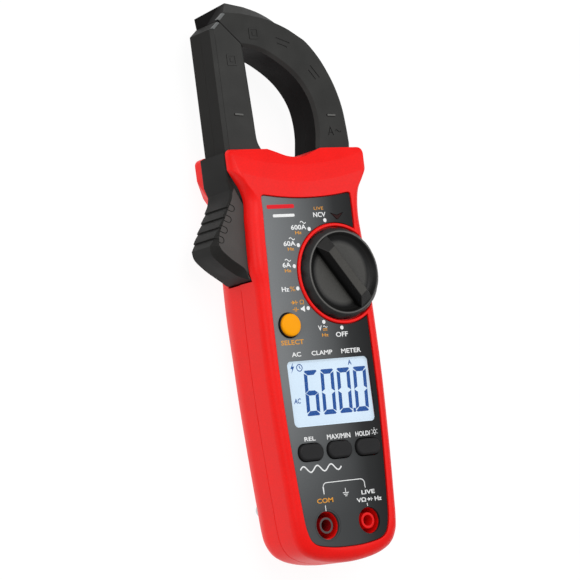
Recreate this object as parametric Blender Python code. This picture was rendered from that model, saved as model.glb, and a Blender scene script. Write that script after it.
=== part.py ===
"""Pocket clamp meter with a 28 mm jaw, modelled as separate working pieces.

The meter lies on its back: +Z is out of its face, +Y runs towards the jaws, and the
origin is on the flat of the back.  Lengths below are millimetres; build_mesh turns
them into Blender's metres.
"""
import math

import bmesh
import bpy
from mathutils import Matrix, Vector

MM = 0.001                    # metres in one millimetre
GAP = 0.3                     # clearance between neighbouring pieces
STRAIGHT = 0.08               # sine of the turn below which an outline counts as straight

# ---- levels above the back -------------------------------------------------------
PARTING_Z = 18.0              # where the two case shells meet
FACE_Z = 30.9                 # front rim of the case
PANEL_Z = (29.4, 30.4)        # face panel, lying in its recess
RECESS_Z = 29.1               # floor of the panel and knob recesses
WALL_TOP_Z = 27.0             # inner side of the front wall
BOARD_Z = (20.2, 21.8)        # circuit board
SLOT_Z = (9.9, 26.4)          # slot in the head for the jaws and the trigger
JAW_Z = (10.3, 26.1)          # thickness of the jaws and the trigger
CORE_Z = (13.5, 22.8)         # laminated core inside the jaws

# ---- case ------------------------------------------------------------------------
WALL = 2.0
BACK_ROUND = 11.5             # rounding between the back and the sides
FRONT_ROUND = 4.5             # rounding between the sides and the front rim
BODY_HALF = 25.8              # half width along the grip
HEAD_HALF = 31.2              # half width of the hand guard at the head
HEAD_EDGE_Z = 7.2             # edge round the back of the head
CASE_TOP_DIP = [(0, 44.8), (4.5, 45.3), (8.5, 46.7), (12.2, 48.0)]
CASE_TOP_CORNER = [(28.1, 48.0), (30.2, 47.6), (31.1, 46.4)]
CASE_SIDE = [(31.0, 39.9), (29.4, 37.4), (26.9, 32.9), (25.6, 28), (24.9, 21),
             (25.3, 12), (25.9, -4), (26.2, -24), (26.1, -42), (25.3, -64),
             (24.3, -82), (23.6, -93), (22.4, -98.5), (18.9, -102.8), (11.4, -105.6),
             (0, -106.8)]
SCREWS = [(-11.0, 24.0), (11.0, 24.0), (-18.5, -84.0), (18.5, -84.0)]

# ---- jaws ------------------------------------------------------------------------
PIVOT = (-19.5, 32.0)         # jaw hinge
ROOT_R = 7.0                  # round root of the moving jaw
MATE_IN = (-16.0, 86.8)       # inner and outer ends of the line where the jaws meet
MATE_OUT = (-26.2, 96.7)
JAW_BEVEL = 1.2
LEVER_SWEEP = 33.9            # radius about the hinge of the slot that the lever swings in

# ---- face ------------------------------------------------------------------------
KNOB = (10.78, -0.35)
KNOB_R = 17.3
KNOB_RECESS_R = 17.75
RING_R = 19.0                 # raised ring of the case round the knob
LCD = (0.0, -44.0)
WINDOW = (36.5, 24.3)
KEY_Y = -65.6
KEYS = {"rel_button": -13.0, "max_min_button": 0.0, "hold_button": 13.0}
KEY_SIZE = (10.8, 6.2)
KEY_CORNER = 2.8
SELECT = (-15.2, -18.6)
SELECT_R = 4.5
JACK_SPACING = 19.05
JACK_Y = -92.7
JACK_R = 4.85
NCV = (13.1, 21.3)            # indicator lens, and the lamp below it
NCV_LED = (13.1, 18.2)

# ---- batteries: two AAA cells ------------------------------------------------------
CELL_R, CELL_LENGTH = 5.25, 44.5
CELL_Z = 7.6
CELL_X = 5.75
CELL_Y = -78.8                # lower end of the cells
BAY = ((-11.9, 11.9), (-82.0, -31.0))
COVER = ((-12.8, 12.8), (-82.8, -24.0))
COVER_SCREW = (0.0, -27.4)


# ---------------------------------------------------------------- outlines and points
def spline(points, steps, start=None, end=None):
    """Points along a Catmull-Rom curve through the given points, ends included.

    start and end are the points beyond its ends that it heads for."""
    path = [Vector(p) for p in points]
    before = Vector(start) if start else 2 * path[0] - path[1]
    after = Vector(end) if end else 2 * path[-1] - path[-2]
    path = [before] + path + [after]
    out = []
    for a, b, c, d in zip(path, path[1:], path[2:], path[3:]):
        for i in range(steps):
            t = i / steps
            out.append(0.5 * (2 * b + (c - a) * t + (2 * a - 5 * b + 4 * c - d) * t ** 2
                              + (3 * b - a - 3 * c + d) * t ** 3))
    return [tuple(p) for p in out] + [tuple(path[-2])]


def arc(centre, radius, start, end, steps):
    """Points along an arc, from one angle to another in degrees, ends included."""
    angles = [math.radians(start + (end - start) * i / steps) for i in range(steps + 1)]
    return [(centre[0] + radius * math.cos(a), centre[1] + radius * math.sin(a))
            for a in angles]


def circle(centre, radius, steps=24):
    return arc(centre, radius, 0, 360 - 360 / steps, steps - 1)


def rounded_box(centre, size, radius, steps=4):
    """Outline of a rectangle with round corners."""
    hx, hy = size[0] / 2 - radius, size[1] / 2 - radius
    out = []
    for sx, sy, start in ((1, 1, 0), (-1, 1, 90), (-1, -1, 180), (1, -1, 270)):
        corner = (centre[0] + sx * hx, centre[1] + sy * hy)
        out += arc(corner, radius, start, start + 90, steps)
    return out


def inset(outline, distance):
    """The outline moved inwards, with mitred corners; it runs one way round.

    distance is one number, or a list with one for the edge that leaves each point."""
    count = len(outline)
    each = distance if isinstance(distance, list) else [distance] * count
    area = sum(outline[i - 1][0] * outline[i][1] - outline[i][0] * outline[i - 1][1]
               for i in range(count))
    side = math.copysign(1, area)
    out = []
    for i in range(count):
        here = Vector(outline[i])
        before = (here - Vector(outline[i - 1])).normalized()
        after = (Vector(outline[(i + 1) % count]) - here).normalized()
        normal_a = Vector((-before.y, before.x)) * side
        normal_b = Vector((-after.y, after.x)) * side
        cross = normal_a.cross(normal_b)
        if abs(cross) < STRAIGHT:
            mean = (each[i - 1] + each[i]) / 2
            out.append(tuple(here + (normal_a + normal_b) * (mean / 2)))
        else:
            move = Vector((each[i - 1] * normal_b.y - each[i] * normal_a.y,
                           each[i] * normal_a.x - each[i - 1] * normal_b.x)) / cross
            out.append(tuple(here + move))
    return out


def mirrored(half):
    """A closed outline from its right half, which runs from top centre to bottom centre."""
    return half + [(-x, y) for x, y in half[-2:0:-1]]


def at(outline, z):
    return [(x, y, z) for x, y in outline]


# --------------------------------------------------------------------- making objects
def material(name, color, roughness, metallic=0.0, alpha=1.0):
    made = bpy.data.materials.new(name)
    made.use_nodes = True
    shader = made.node_tree.nodes["Principled BSDF"]
    shader.inputs["Base Color"].default_value = (*color, 1.0)
    shader.inputs["Roughness"].default_value = roughness
    shader.inputs["Metallic"].default_value = metallic
    shader.inputs["Alpha"].default_value = alpha
    return made


def link(name, mesh, finish=None, smooth=False):
    thing = bpy.data.objects.new(name, mesh)
    bpy.context.scene.collection.objects.link(thing)
    if finish:
        mesh.materials.append(finish)
    if smooth:
        mesh.shade_smooth()
        mesh.set_sharp_from_angle(angle=math.radians(35))
    return thing


def build_mesh(name, points, faces, finish=None, smooth=False):
    """A closed solid from points in millimetres; its faces are turned outwards."""
    form = bmesh.new()
    corners = [form.verts.new(Vector(p) * MM) for p in points]
    for face in faces:
        form.faces.new([corners[i] for i in face])
    bmesh.ops.recalc_face_normals(form, faces=form.faces)
    mesh = bpy.data.meshes.new(name)
    form.to_mesh(mesh)
    form.free()
    return link(name, mesh, finish, smooth)


def loft(name, loops, finish=None, smooth=False):
    """A solid through loops of equal count, closed by a flat face at each end."""
    count = len(loops[0])
    points = [p for loop in loops for p in loop]
    faces = [list(range(count)), [len(points) - count + i for i in range(count)]]
    for row in range(len(loops) - 1):
        for i in range(count):
            j = (i + 1) % count
            a, b = row * count, (row + 1) * count
            faces.append([a + i, a + j, b + j, b + i])
    return build_mesh(name, points, faces, finish, smooth)


def prism(name, outline, low, high, finish=None, bevel=0.0, smooth=False):
    """The outline raised from low to high, with an optional bevel round its top."""
    loops = [at(outline, low)]
    if bevel:
        loops += [at(outline, high - bevel), at(inset(outline, bevel), high)]
    else:
        loops += [at(outline, high)]
    return loft(name, loops, finish, smooth)


def box(name, x, y, z, finish=None):
    outline = [(x[0], y[0]), (x[1], y[0]), (x[1], y[1]), (x[0], y[1])]
    return prism(name, outline, z[0], z[1], finish)


def cylinder(name, centre, radius, z, finish=None, steps=24):
    return prism(name, circle(centre, radius, steps), z[0], z[1], finish, smooth=True)


def lathe(name, centre, profile, finish=None, steps=32):
    """A profile of (radius, height) turned about a vertical line; radius 0 is on it."""
    points, rings = [], []
    for radius, z in profile:
        if radius == 0:
            rings.append([len(points)] * steps)
            points.append((*centre, z))
        else:
            rings.append([len(points) + i for i in range(steps)])
            points += at(circle(centre, radius, steps), z)
    faces = []
    for a, b in zip(rings, rings[1:] + rings[:1]):
        for i in range(steps):
            j = (i + 1) % steps
            face = list(dict.fromkeys((a[i], a[j], b[j], b[i])))
            if len(face) > 2:
                faces.append(face)
    return build_mesh(name, points, faces, finish, smooth=True)


def wire(name, points, radius, finish, sides=2):
    """A round wire along a list of points."""
    curve = bpy.data.curves.new(name, "CURVE")
    curve.dimensions = "3D"
    curve.bevel_depth = radius * MM
    curve.bevel_resolution = sides
    curve.use_fill_caps = True
    line = curve.splines.new("POLY")
    line.points.add(len(points) - 1)
    for slot, point in zip(line.points, points):
        slot.co = (*(Vector(point) * MM), 1.0)
    thing = bpy.data.objects.new(name, curve)
    bpy.context.scene.collection.objects.link(thing)
    curve.materials.append(finish)
    return thing


def helix(centre, axis, radius, length, turns, steps=12):
    """Points of a coil that starts at centre and climbs along axis."""
    turn = Vector((0, 0, 1)).rotation_difference(Vector(axis)).to_matrix()
    out = []
    for i in range(turns * steps + 1):
        angle = 2 * math.pi * i / steps
        climb = length * i / (turns * steps)
        point = Vector((radius * math.cos(angle), radius * math.sin(angle), climb))
        out.append(tuple(Vector(centre) + turn @ point))
    return out


def carve(target, *cutters, operation="DIFFERENCE"):
    """Cut the cutters out of the target, or join them to it, and use them up."""
    for cutter in cutters:
        modifier = target.modifiers.new("carve", "BOOLEAN")
        modifier.operation = operation
        modifier.solver = "EXACT"
        modifier.object = cutter
        graph = bpy.context.evaluated_depsgraph_get()
        mesh = bpy.data.meshes.new_from_object(target.evaluated_get(graph))
        target.modifiers.clear()
        target.data = mesh
        mesh.name = target.name
        bpy.data.objects.remove(cutter)
    return target


def join(target, *pieces):
    return carve(target, *pieces, operation="UNION")


def hang(name, position, *pieces):
    """Parent the pieces to an empty on their joint's axis, without moving them."""
    pivot = bpy.data.objects.new(name, None)
    pivot.empty_display_size = 0.01
    pivot.matrix_world = Matrix.Translation(Vector(position) * MM)
    bpy.context.scene.collection.objects.link(pivot)
    for piece in pieces:
        piece.parent = pivot
        piece.matrix_parent_inverse = pivot.matrix_world.inverted()


# ------------------------------------------------------------------------------- case
def smoothstep(value, low, high):
    t = min(max((value - low) / (high - low), 0.0), 1.0)
    return t * t * (3 - 2 * t)


def case_outline():
    dip = spline(CASE_TOP_DIP, 2, start=(-4.5, 45.3))
    side = spline(CASE_SIDE[1:], 2, end=(-11.4, -105.6))
    return mirrored(dip + CASE_TOP_CORNER + [CASE_SIDE[0]] + side)


def case_loop(distance, z, head=None):
    """The case's outline drawn in by a distance, or by another at its head, at height z."""
    out = []
    for x, y in case_outline():
        width = BODY_HALF + (HEAD_HALF - BODY_HALF) * smoothstep(y, 28, 39)
        drop = smoothstep(y, 22, 42) - smoothstep(-y, 80, 104)
        reach = distance
        if head is not None:
            reach += (head - distance) * smoothstep(y, 22, 36)
        out.append((x * (1 - reach / width), y - reach * drop, z))
    return out


def head_chamfer(z):
    """How far the back of the head is drawn in at height z: a slope up to a sharp edge."""
    return max(0.0, HEAD_EDGE_Z - z)


def rounding(radius, base, steps, rising):
    """(distance, z) pairs of a quarter round between a side and a face."""
    out = []
    for i in range(steps + 1):
        a = math.pi / 2 * i / steps
        z = base + radius * math.sin(a) if rising else base - radius * math.sin(a)
        out.append((radius * (1 - math.cos(a)), z))
    return out


def case_solid(name, levels, finish=None):
    return loft(name, [case_loop(*level) for level in levels], finish, smooth=True)


def head_ramp():
    """Cutter that slopes the front of the head down towards the jaws, in a shallow bow."""
    profile = [(-0.6, FACE_Z + 0.13), (0, FACE_Z), (7.0, FACE_Z - 1.5), (16.0, FACE_Z - 5.2)]
    columns = [-36 + 6 * i for i in range(13)]
    points, count = [], len(columns)
    for step, z in profile:
        points += [(x, 34.1 + 0.0052 * x * x + step, z) for x in columns]
    top = FACE_Z + 6
    points += [(x, 60, FACE_Z - 5.2) for x in columns] + [(x, 60, top) for x in columns]
    points += [(x, 34.1 + 0.0052 * x * x - 0.6, top) for x in columns]
    rows = len(profile) + 3
    faces = [[r * count for r in range(rows)], [r * count + count - 1 for r in range(rows)]]
    for r in range(rows):
        a, b = r * count, (r + 1) % rows * count
        faces += [[a + i, a + i + 1, b + i + 1, b + i] for i in range(count - 1)]
    return build_mesh("ramp", points, faces)


def jaw_slots(z):
    """Cutters for the moving jaw, the trigger below it, and the fixed jaw."""
    sweep = arc(PIVOT, LEVER_SWEEP, -122, -93.5, 6)
    left = [(-45, sweep[0][1])] + sweep + [(-21.5, 20), (-13, 20), (-13, 40), (-12.1, 41.5),
                                           (-12.1, 60), (-45, 60)]
    return [prism("slot", left, *z), box("slot", (10.6, 28.3), (43, 60), z)]


def panel_outline(grow=0.0):
    top = [(x, 28.5 + 0.0025 * x * x) for x in (0, 7, 13.5, 19.2)]
    side = [(20.2, 28.6), (20.2, 20), (20.5, 7), (21.5, -14), (21.9, -40), (21.4, -56),
            (20.4, -74)]
    foot = spline([(19.6, -84), (18.6, -93.5), (15.8, -98.7), (8.5, -100.6), (0, -101.05)], 3,
                  end=(-8.5, -100.6))
    return inset(mirrored(top + side + foot), -grow)


def ncv_outline(grow=0.0):
    x, y = NCV
    return inset([(x - 3.1, y + 1.3), (x, y + 0.2), (x + 3.1, y + 1.3), (x, y - 1.3)], -grow)


def key_outline(x, grow=0.0):
    size = [s + 2 * grow for s in KEY_SIZE]
    return rounded_box((x, KEY_Y), size, KEY_CORNER + grow, 6)


def face_holes(low, high, grow):
    """Cutters for the keys and the select button."""
    holes = [prism("hole", key_outline(x, grow), low, high) for x in KEYS.values()]
    holes.append(cylinder("hole", SELECT, SELECT_R + grow, (low, high)))
    return holes


def jack_places():
    return {"com": (-JACK_SPACING / 2, JACK_Y), "live": (JACK_SPACING / 2, JACK_Y)}


def make_front_case(red):
    base = FACE_Z - FRONT_ROUND
    levels = [(0, PARTING_Z + GAP / 2)] + rounding(FRONT_ROUND, base, 3, rising=True)
    case = case_solid("front_case", levels, red)
    cavity = case_solid("cavity", [(WALL, PARTING_Z - 1), (WALL, WALL_TOP_Z - 1.4),
                                   (WALL + 1.2, WALL_TOP_Z)])
    for place in SCREWS:
        carve(cavity, cylinder("boss", place, 3.4, (0, 40), steps=16))
    ring = cylinder("ring", KNOB, 15.9, (22.6, 40), steps=32)
    carve(ring, cylinder("bore", KNOB, 14.5, (20, 50), steps=32))
    carve(cavity, ring)
    carve(case, cavity, head_ramp(),
          cylinder("rotor_room", KNOB, 14.5, (PARTING_Z - 1, WALL_TOP_Z), steps=32))
    for place in SCREWS:
        carve(case, cylinder("hole", place, 1.65, (10, 25.6), steps=12))
    for place in jack_places().values():
        join(case, cylinder("collar", place, JACK_R + 1.3, (9.5, 28), steps=24))
        carve(case, cylinder("bore", place, JACK_R, (10.7, 40)),
              cylinder("bore", place, 3.4, (5, 20), steps=16))
    recess = prism("recess", panel_outline(0.25), RECESS_Z, 40)
    carve(recess, cylinder("ring", KNOB, RING_R, (20, 50), steps=48))
    carve(case, recess, cylinder("recess", KNOB, KNOB_RECESS_R, (RECESS_Z, 40), steps=48))
    carve(case, prism("hole", rounded_box(LCD, (39.2, 27.0), 1.0, 2), 20, 40))
    carve(case, *face_holes(20, 40, GAP))
    carve(case, cylinder("hole", KNOB, 5.3, (20, 40)),
          cylinder("hole", NCV, 2.2, (20, 40), steps=16),
          cylinder("hole", PIVOT, 2.3, (20, 28.2), steps=16))
    carve(case, *jaw_slots((0, SLOT_Z[1])))
    return case


def make_rear_case(red):
    top = PARTING_Z - GAP / 2
    back = rounding(BACK_ROUND, BACK_ROUND, 5, rising=False)
    levels = [(0, top, 0)] + [(d, z, head_chamfer(z)) for d, z in back]
    case = case_solid("rear_case", levels, red)
    hollow = rounding(BACK_ROUND - WALL, BACK_ROUND, 4, rising=False)
    levels = [(WALL, top + 1, WALL)] + [(WALL + d, z, WALL + head_chamfer(z - WALL / 2))
                                        for d, z in hollow]
    cavity = case_solid("cavity", levels)
    for place in SCREWS:
        carve(cavity, cylinder("boss", place, 3.6, (-5, 40), steps=16))
    carve(cavity, cylinder("boss", PIVOT, 3.6, (-5, SLOT_Z[0]), steps=16))
    carve(cavity, box("block", (-14.4, 14.4), (-84.5, -22.5), (-5, 14.6)))
    carve(case, cavity)
    for place in SCREWS:
        carve(case, cylinder("head", place, 2.9, (-5, 4.5), steps=16),
              cylinder("hole", place, 1.65, (0, 30), steps=12))
    carve(case, box("bay", BAY[0], BAY[1], (-5, 13.1)))
    centre, size = cover_place()
    carve(case, prism("lid", rounded_box(centre, [s + 0.6 for s in size], 2.3), -5, 2.1))
    carve(case, cylinder("hole", COVER_SCREW, 1.5, (0, 12), steps=12),
          cylinder("hole", PIVOT, 2.3, (2.6, 30), steps=16))
    carve(case, *jaw_slots((SLOT_Z[0], 40)))
    return case


def cover_place():
    (x0, x1), (y0, y1) = COVER
    return ((x0 + x1) / 2, (y0 + y1) / 2), (x1 - x0, y1 - y0)


def make_battery_cover(red):
    centre, size = cover_place()
    cover = prism("battery_cover", rounded_box(centre, size, 2.0), 0, 1.8, red)
    carve(cover, cylinder("hole", COVER_SCREW, 1.6, (-5, 5), steps=16),
          cylinder("head", COVER_SCREW, 2.8, (-5, 0.9), steps=20))
    return cover


def screw(name, place, head, shank, low, neck, high, steel):
    """A pan-head screw whose head faces the back of the meter."""
    return lathe(name, place, [(0, low), (head, low), (head, neck), (shank, neck),
                               (shank, high), (0, high)], steel, steps=16)


# ------------------------------------------------------------------------------- jaws
def mate_points(shift):
    """Ends of the jaws' meeting line, moved across the line by a distance."""
    start, end = Vector(MATE_IN), Vector(MATE_OUT)
    along = (end - start).normalized()
    across = Vector((along.y, -along.x)) * shift
    return start + across, end + across, along


def moving_outline():
    inner, outer, _ = mate_points(-0.2)
    root = arc(PIVOT, ROOT_R, 0, -160, 10)
    return [tuple(inner), (-15.2, 60), (-15.0, 53), (-14.5, 50.3), (-13.5, 48.3),
            (-12.6, 46.5), (-12.6, 43), (-13.4, 40), (-13.4, 37)] + root + [(-29.8, 37.4), (-29.8, 93.6), tuple(outer)]


def fixed_inner():
    inner, _, _ = mate_points(0.2)
    return spline([tuple(inner), (-12.6, 86.5), (-8.2, 85.2), (-3.0, 82.5), (3.4, 77.9),
                   (8.0, 72.8), (11.1, 67), (12.4, 61), (12.5, 55), (11.8, 50), (11.2, 46.5)],
                  2)


FIXED_ROOT = [(11.2, 28.6), (22.0, 28.6), (23.8, 33), (26.0, 38.5), (27.5, 50)]
FIXED_SIDE = [(27.5, 50), (27.2, 56.2), (26.4, 63.9), (24.4, 71.3), (21.5, 77.8),
              (17.4, 83.9), (11.9, 89.6)]


def fixed_outline(crown, corner):
    """Outline of the fixed jaw; crown is its outer edge from the right to the tip."""
    _, outer, _ = mate_points(0.2)
    outer_side = spline(FIXED_SIDE, 2) + spline(crown, 2)
    return fixed_inner() + FIXED_ROOT[:-1] + outer_side + [corner, tuple(outer)]


def fixed_levels():
    """The fixed jaw's outline at its back face, its ridge and its front face."""
    back = fixed_outline([(5.8, 93.8), (-1.6, 97.3), (-7.8, 99.4), (-16, 101.0)], (-26.5, 100.7))
    ridge = fixed_outline([(7.3, 94.5), (2.6, 98.3), (-3.4, 101.4), (-10, 103.5)], (-18.1, 104.9))
    face = fixed_outline([(5.7, 93.4), (-2.0, 96.6), (-6.8, 98.0), (-15.5, 99.5)], (-23.4, 99.9))
    return back, ridge, face


def fixed_half(name, front, finish):
    back, ridge, face = fixed_levels()
    low, high = JAW_Z
    middle = (low + high) / 2
    mixed = [tuple(Vector(a).lerp(Vector(b), 0.18)) for a, b in zip(ridge, back)]
    if front:
        loops = [at(mixed, middle + GAP / 2), at(ridge, 20.0),
                 at(face, high - 0.6), at(mating_inset(face, 0.6), high)]
    else:
        loops = [at(mating_inset(back, 0.6), low), at(back, low + 0.6),
                 at(mixed, middle - GAP / 2)]
    return loft(name, loops, finish)


def mating_inset(outline, distance):
    """Inset all round but for the last edge, which is where the jaws meet."""
    return inset(outline, [distance] * (len(outline) - 1) + [0.0])


def moving_half(name, front, finish):
    outline = moving_outline()
    low, high = JAW_Z
    middle = (low + high) / 2
    if front:
        loops = [at(outline, middle + GAP / 2), at(outline, high - JAW_BEVEL),
                 at(mating_inset(outline, JAW_BEVEL), high)]
    else:
        loops = [at(mating_inset(outline, JAW_BEVEL), low), at(outline, low + JAW_BEVEL),
                 at(outline, middle - GAP / 2)]
    return loft(name, loops, finish)


def moving_core_outline():
    inner, _, along = mate_points(-0.3)
    near, far = inner + along * 2.6, inner + along * 10.2
    return [tuple(near), (-19.0, 84.5), (-19.0, 46.0), (-13.6, 40.0), (-13.6, 34.6),
            (-16.6, 35.4), (-20.5, 37.0), (-27.0, 37.6), (-27.0, 92.6), tuple(far)]


def fixed_core_outline():
    inner, _, along = mate_points(0.3)
    near, far = inner + along * 2.6, inner + along * 9.6
    inside = spline([(-10, 89.0), (-1.2, 85.2), (5.4, 80.0), (10.4, 74.2), (14.2, 67.4),
                     (15.6, 60), (15.6, 50)], 2)
    outside = spline([(23.9, 50), (23.2, 62), (20.6, 71.0), (15.2, 80.0), (8.4, 87.0),
                      (-1.4, 92.8), (-12, 96.2)], 2)
    yoke = [(15.6, 39.8), (-12.7, 39.8), (-12.7, 34.2), (20.4, 34.2), (23.9, 39.0)]
    return [tuple(near)] + inside + yoke + outside + [tuple(far)]


def core_room(outline):
    """Cutter that empties a jaw round its core."""
    return prism("room", inset(outline, -GAP), CORE_Z[0] - 0.4, CORE_Z[1] + 0.4)


def lever_outline():
    outer = spline([(-31.5, 33.5), (-33.4, 27.4), (-35.9, 21.9), (-38.8, 17.2), (-40.9, 13.0)],
                   2)
    nose = spline([(-40.9, 13.0), (-40.1, 9.6), (-36.0, 5.6), (-31.8, 2.6), (-28.8, 0.6),
                   (-26.2, -0.7), (-24.4, -0.1), (-23.4, 2.6)], 2)
    inner = [(-22.6, 14.0), (-22.8, 24.4)]
    seat = arc(PIVOT, ROOT_R + GAP, 240, 202, 3)
    return [(-31.5, 47.0)] + outer + nose[1:] + inner + seat + [(-30.1, 37.4), (-30.1, 47.0)]


def make_lever(black):
    outline = lever_outline()
    low, high = JAW_Z
    soft = 1.4
    loops = [at(inset(outline, 0.5), low), at(outline, low + 0.8), at(outline, high - soft),
             at(inset(outline, 0.5), high - 0.4), at(inset(outline, 0.9), high)]
    return loft("trigger_lever", loops, black, smooth=True)


def make_jaws(finishes):
    shell, black, steel = finishes["jaw_shell"], finishes["trigger"], finishes["core"]
    moving = []
    for name, front in (("moving_jaw_front", True), ("moving_jaw_rear", False)):
        half = moving_half(name, front, shell)
        carve(half, core_room(moving_core_outline()),
              cylinder("bore", PIVOT, 2.3, (0, 40), steps=16))
        moving.append(half)
    moving.append(prism("moving_core", moving_core_outline(), *CORE_Z, steel))
    moving.append(make_lever(black))
    for name, front in (("fixed_jaw_front", True), ("fixed_jaw_rear", False)):
        carve(fixed_half(name, front, shell), core_room(fixed_core_outline()))
    prism("fixed_core", fixed_core_outline(), *CORE_Z, steel)
    hang("jaw_axis", (*PIVOT, 0), *moving)


def make_coil(finishes):
    """Bobbin and winding on the yoke of the fixed core, and their lead to the board."""
    x, y, z = (-8.0, 8.0), (33.9, 40.1), (CORE_Z[0] - GAP, CORE_Z[1] + GAP)

    def ring(name, span, grow, finish, hole):
        made = box(name, span, (y[0] - grow, y[1] + grow), (z[0] - grow, z[1] + grow), finish)
        return carve(made, box("hole", (-20, 20), (y[0] - hole, y[1] + hole),
                               (z[0] - hole, z[1] + hole)))

    bobbin = box("coil_bobbin", x, (y[0] - 2.2, y[1] + 2.2), (z[0] - 2.2, z[1] + 2.2),
                 finishes["bobbin"])
    waist = ring("waist", (x[0] + 1.2, x[1] - 1.2), 5, None, 0.9)
    carve(bobbin, waist, box("hole", (-20, 20), y, z))
    ring("coil_winding", (x[0] + 1.5, x[1] - 1.5), 2.0, finishes["copper"], 1.2)
    route = spline([(5.0, 31.0, 18.0), (4.6, 27.5, 18.6), (3.8, 24.0, 21.0), (3.4, 20.5, 23.4),
                    (3.4, 17.2, 23.4), (3.4, 16.2, 22.3)], 3)
    wire("coil_lead", route, 0.5, finishes["lead"], sides=1)


def make_pivot(finishes):
    lathe("jaw_pivot_pin", PIVOT, [(0, 3.0), (2.0, 3.0), (2.0, 27.9), (0, 27.9)],
          finishes["steel"], steps=16)
    x, y = PIVOT
    radius, low, high = 4.35, 7.1, 9.5
    coil = helix((x, y, low), (0, 0, 1), radius, high - low, 3)
    legs = (x + radius, y - 4.0, low), (x + radius, y + 6.0, high)
    wire("jaw_return_spring", [legs[0], *coil, legs[1]], 0.35, finishes["steel"], sides=0)


# ------------------------------------------------------------------- face and controls
def make_panel(dark):
    panel = prism("face_panel", panel_outline(), *PANEL_Z, dark)
    carve(panel, cylinder("ring", KNOB, RING_R + GAP, (20, 50), steps=48),
          prism("hole", rounded_box(LCD, WINDOW, 1.8), 20, 50),
          prism("hole", ncv_outline(0.3), 20, 50), *face_holes(20, 50, GAP))
    for place in jack_places().values():
        carve(panel, cylinder("hole", place, JACK_R, (20, 50)))
    return panel


def make_display(finishes):
    window = [s - 0.6 for s in WINDOW]
    prism("lcd_window", rounded_box(LCD, window, 1.5), PANEL_Z[0], PANEL_Z[1] - 0.1,
          finishes["clear"])
    box("lcd_glass", (-19.2, 19.2), (LCD[1] - 13.1, LCD[1] + 13.1), (27.4, 29.0),
        finishes["lcd"])
    box("lcd_backlight", (-19.2, 19.2), (LCD[1] - 10.6, LCD[1] + 13.1), (24.9, 27.1),
        finishes["light"])
    box("zebra_strip", (-17.0, 17.0), (LCD[1] - 12.8, LCD[1] - 11.2), (22.1, 27.1),
        finishes["zebra"])
    frame = box("lcd_frame", (-21.0, 21.0), (LCD[1] - 15.0, LCD[1] + 15.0), (22.1, 26.7),
                finishes["bobbin"])
    carve(frame, box("hole", (-19.5, 19.5), (LCD[1] - 13.4, LCD[1] + 13.4), (10, 40)))


def make_knob(finishes):
    """Rotary knob with a grip bar, its switch rotor, wipers and two detent balls."""
    knob = lathe("rotary_knob", KNOB,
                 [(0, 28.6), (2.9, 28.6), (2.9, 25.9), (4.9, 25.9), (4.9, 29.4),
                  (KNOB_R, 29.4), (KNOB_R, 30.9), (16.9, 31.9), (15.4, 33.5), (14.6, 33.5),
                  (12.6, 31.8), (0, 31.6)], finishes["knob"], steps=40)
    rows = [(14.6, 3.7, 31.2), (14.9, 3.3, 33.3), (10.5, 1.9, 36.0)]
    turn = Matrix.Rotation(math.radians(125.8), 2)
    loops = []
    for length, width, z in rows:
        corners = [(length, -width), (length, width), (-length, width), (-length, -width)]
        loops.append([(*(turn @ Vector(c) + Vector(KNOB)), z) for c in corners])
    join(knob, loft("bar", loops))
    rotor = lathe("switch_rotor", KNOB, [(0, 22.7), (13.2, 22.7), (13.2, 25.3), (2.5, 25.3),
                                         (2.5, 28.2), (0, 28.2)], finishes["bobbin"])
    moving = [knob, rotor]
    star = []
    for i in range(6):
        angle = math.radians(60 * i + 5.8)
        reach = 11.5 if i % 2 else 3.0
        star.append((KNOB[0] + reach * math.cos(angle), KNOB[1] + reach * math.sin(angle)))
    moving.append(prism("rotor_wipers", star, 22.1, 22.4, finishes["brass"]))
    for i, side in enumerate((1, -1), start=1):
        x, y = KNOB[0] + side * 13.3, KNOB[1]
        spans = sorted((KNOB[0] + side * 8.0, KNOB[0] + side * 14.0))
        carve(rotor, box("pocket", spans, (y - 1.3, y + 1.3), (23.0, 30)))
        ball = [(0.9 * math.sin(a), 24.3 - 0.9 * math.cos(a))
                for a in (math.pi * k / 8 for k in range(9))]
        ball[0], ball[-1] = (0, 23.4), (0, 25.2)
        moving.append(lathe(f"detent_ball_{i}", (x, y), ball, finishes["steel"], steps=12))
        start = (KNOB[0] + side * 8.5, y, 24.3)
        moving.append(wire(f"detent_spring_{i}", helix(start, (side, 0, 0), 0.75, 3.4, 4, 8),
                           0.16, finishes["steel"], sides=0))
    hang("knob_axis", (*KNOB, 0), *moving)


def make_buttons(finishes):
    """Three oblong keys and the round select button, each with a flange under the wall."""
    for name, x in KEYS.items():
        key = prism(name, key_outline(x), 26.0, 31.7, finishes["key"], bevel=0.5)
        join(key, prism("flange", key_outline(x, 0.7), 24.6, 26.4))
        hang(name.replace("button", "axis"), (x, KEY_Y, 24.6), key)
    button = lathe("select_button", SELECT,
                   [(0, 24.6), (5.4, 24.6), (5.4, 26.4), (SELECT_R, 26.4), (SELECT_R, 31.7),
                    (4.1, 32.3), (0, 32.5)], finishes["select"])
    hang("select_axis", (*SELECT, 24.6), button)
    mat = box("keypad_membrane", (-20, 20), (-70.2, -61.0), (22.1, 22.8), finishes["rubber"])
    for x in KEYS.values():
        dome = lathe("dome", (x, KEY_Y), [(0, 22.4), (2.8, 22.4), (1.8, 23.6), (0, 23.6)],
                     steps=10)
        join(mat, dome)
    lathe("select_switch", SELECT, [(0, 22.1), (3.0, 22.1), (3.0, 23.2), (1.2, 23.2),
                                    (1.2, 23.6), (0, 23.6)], finishes["rubber"], steps=16)


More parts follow.
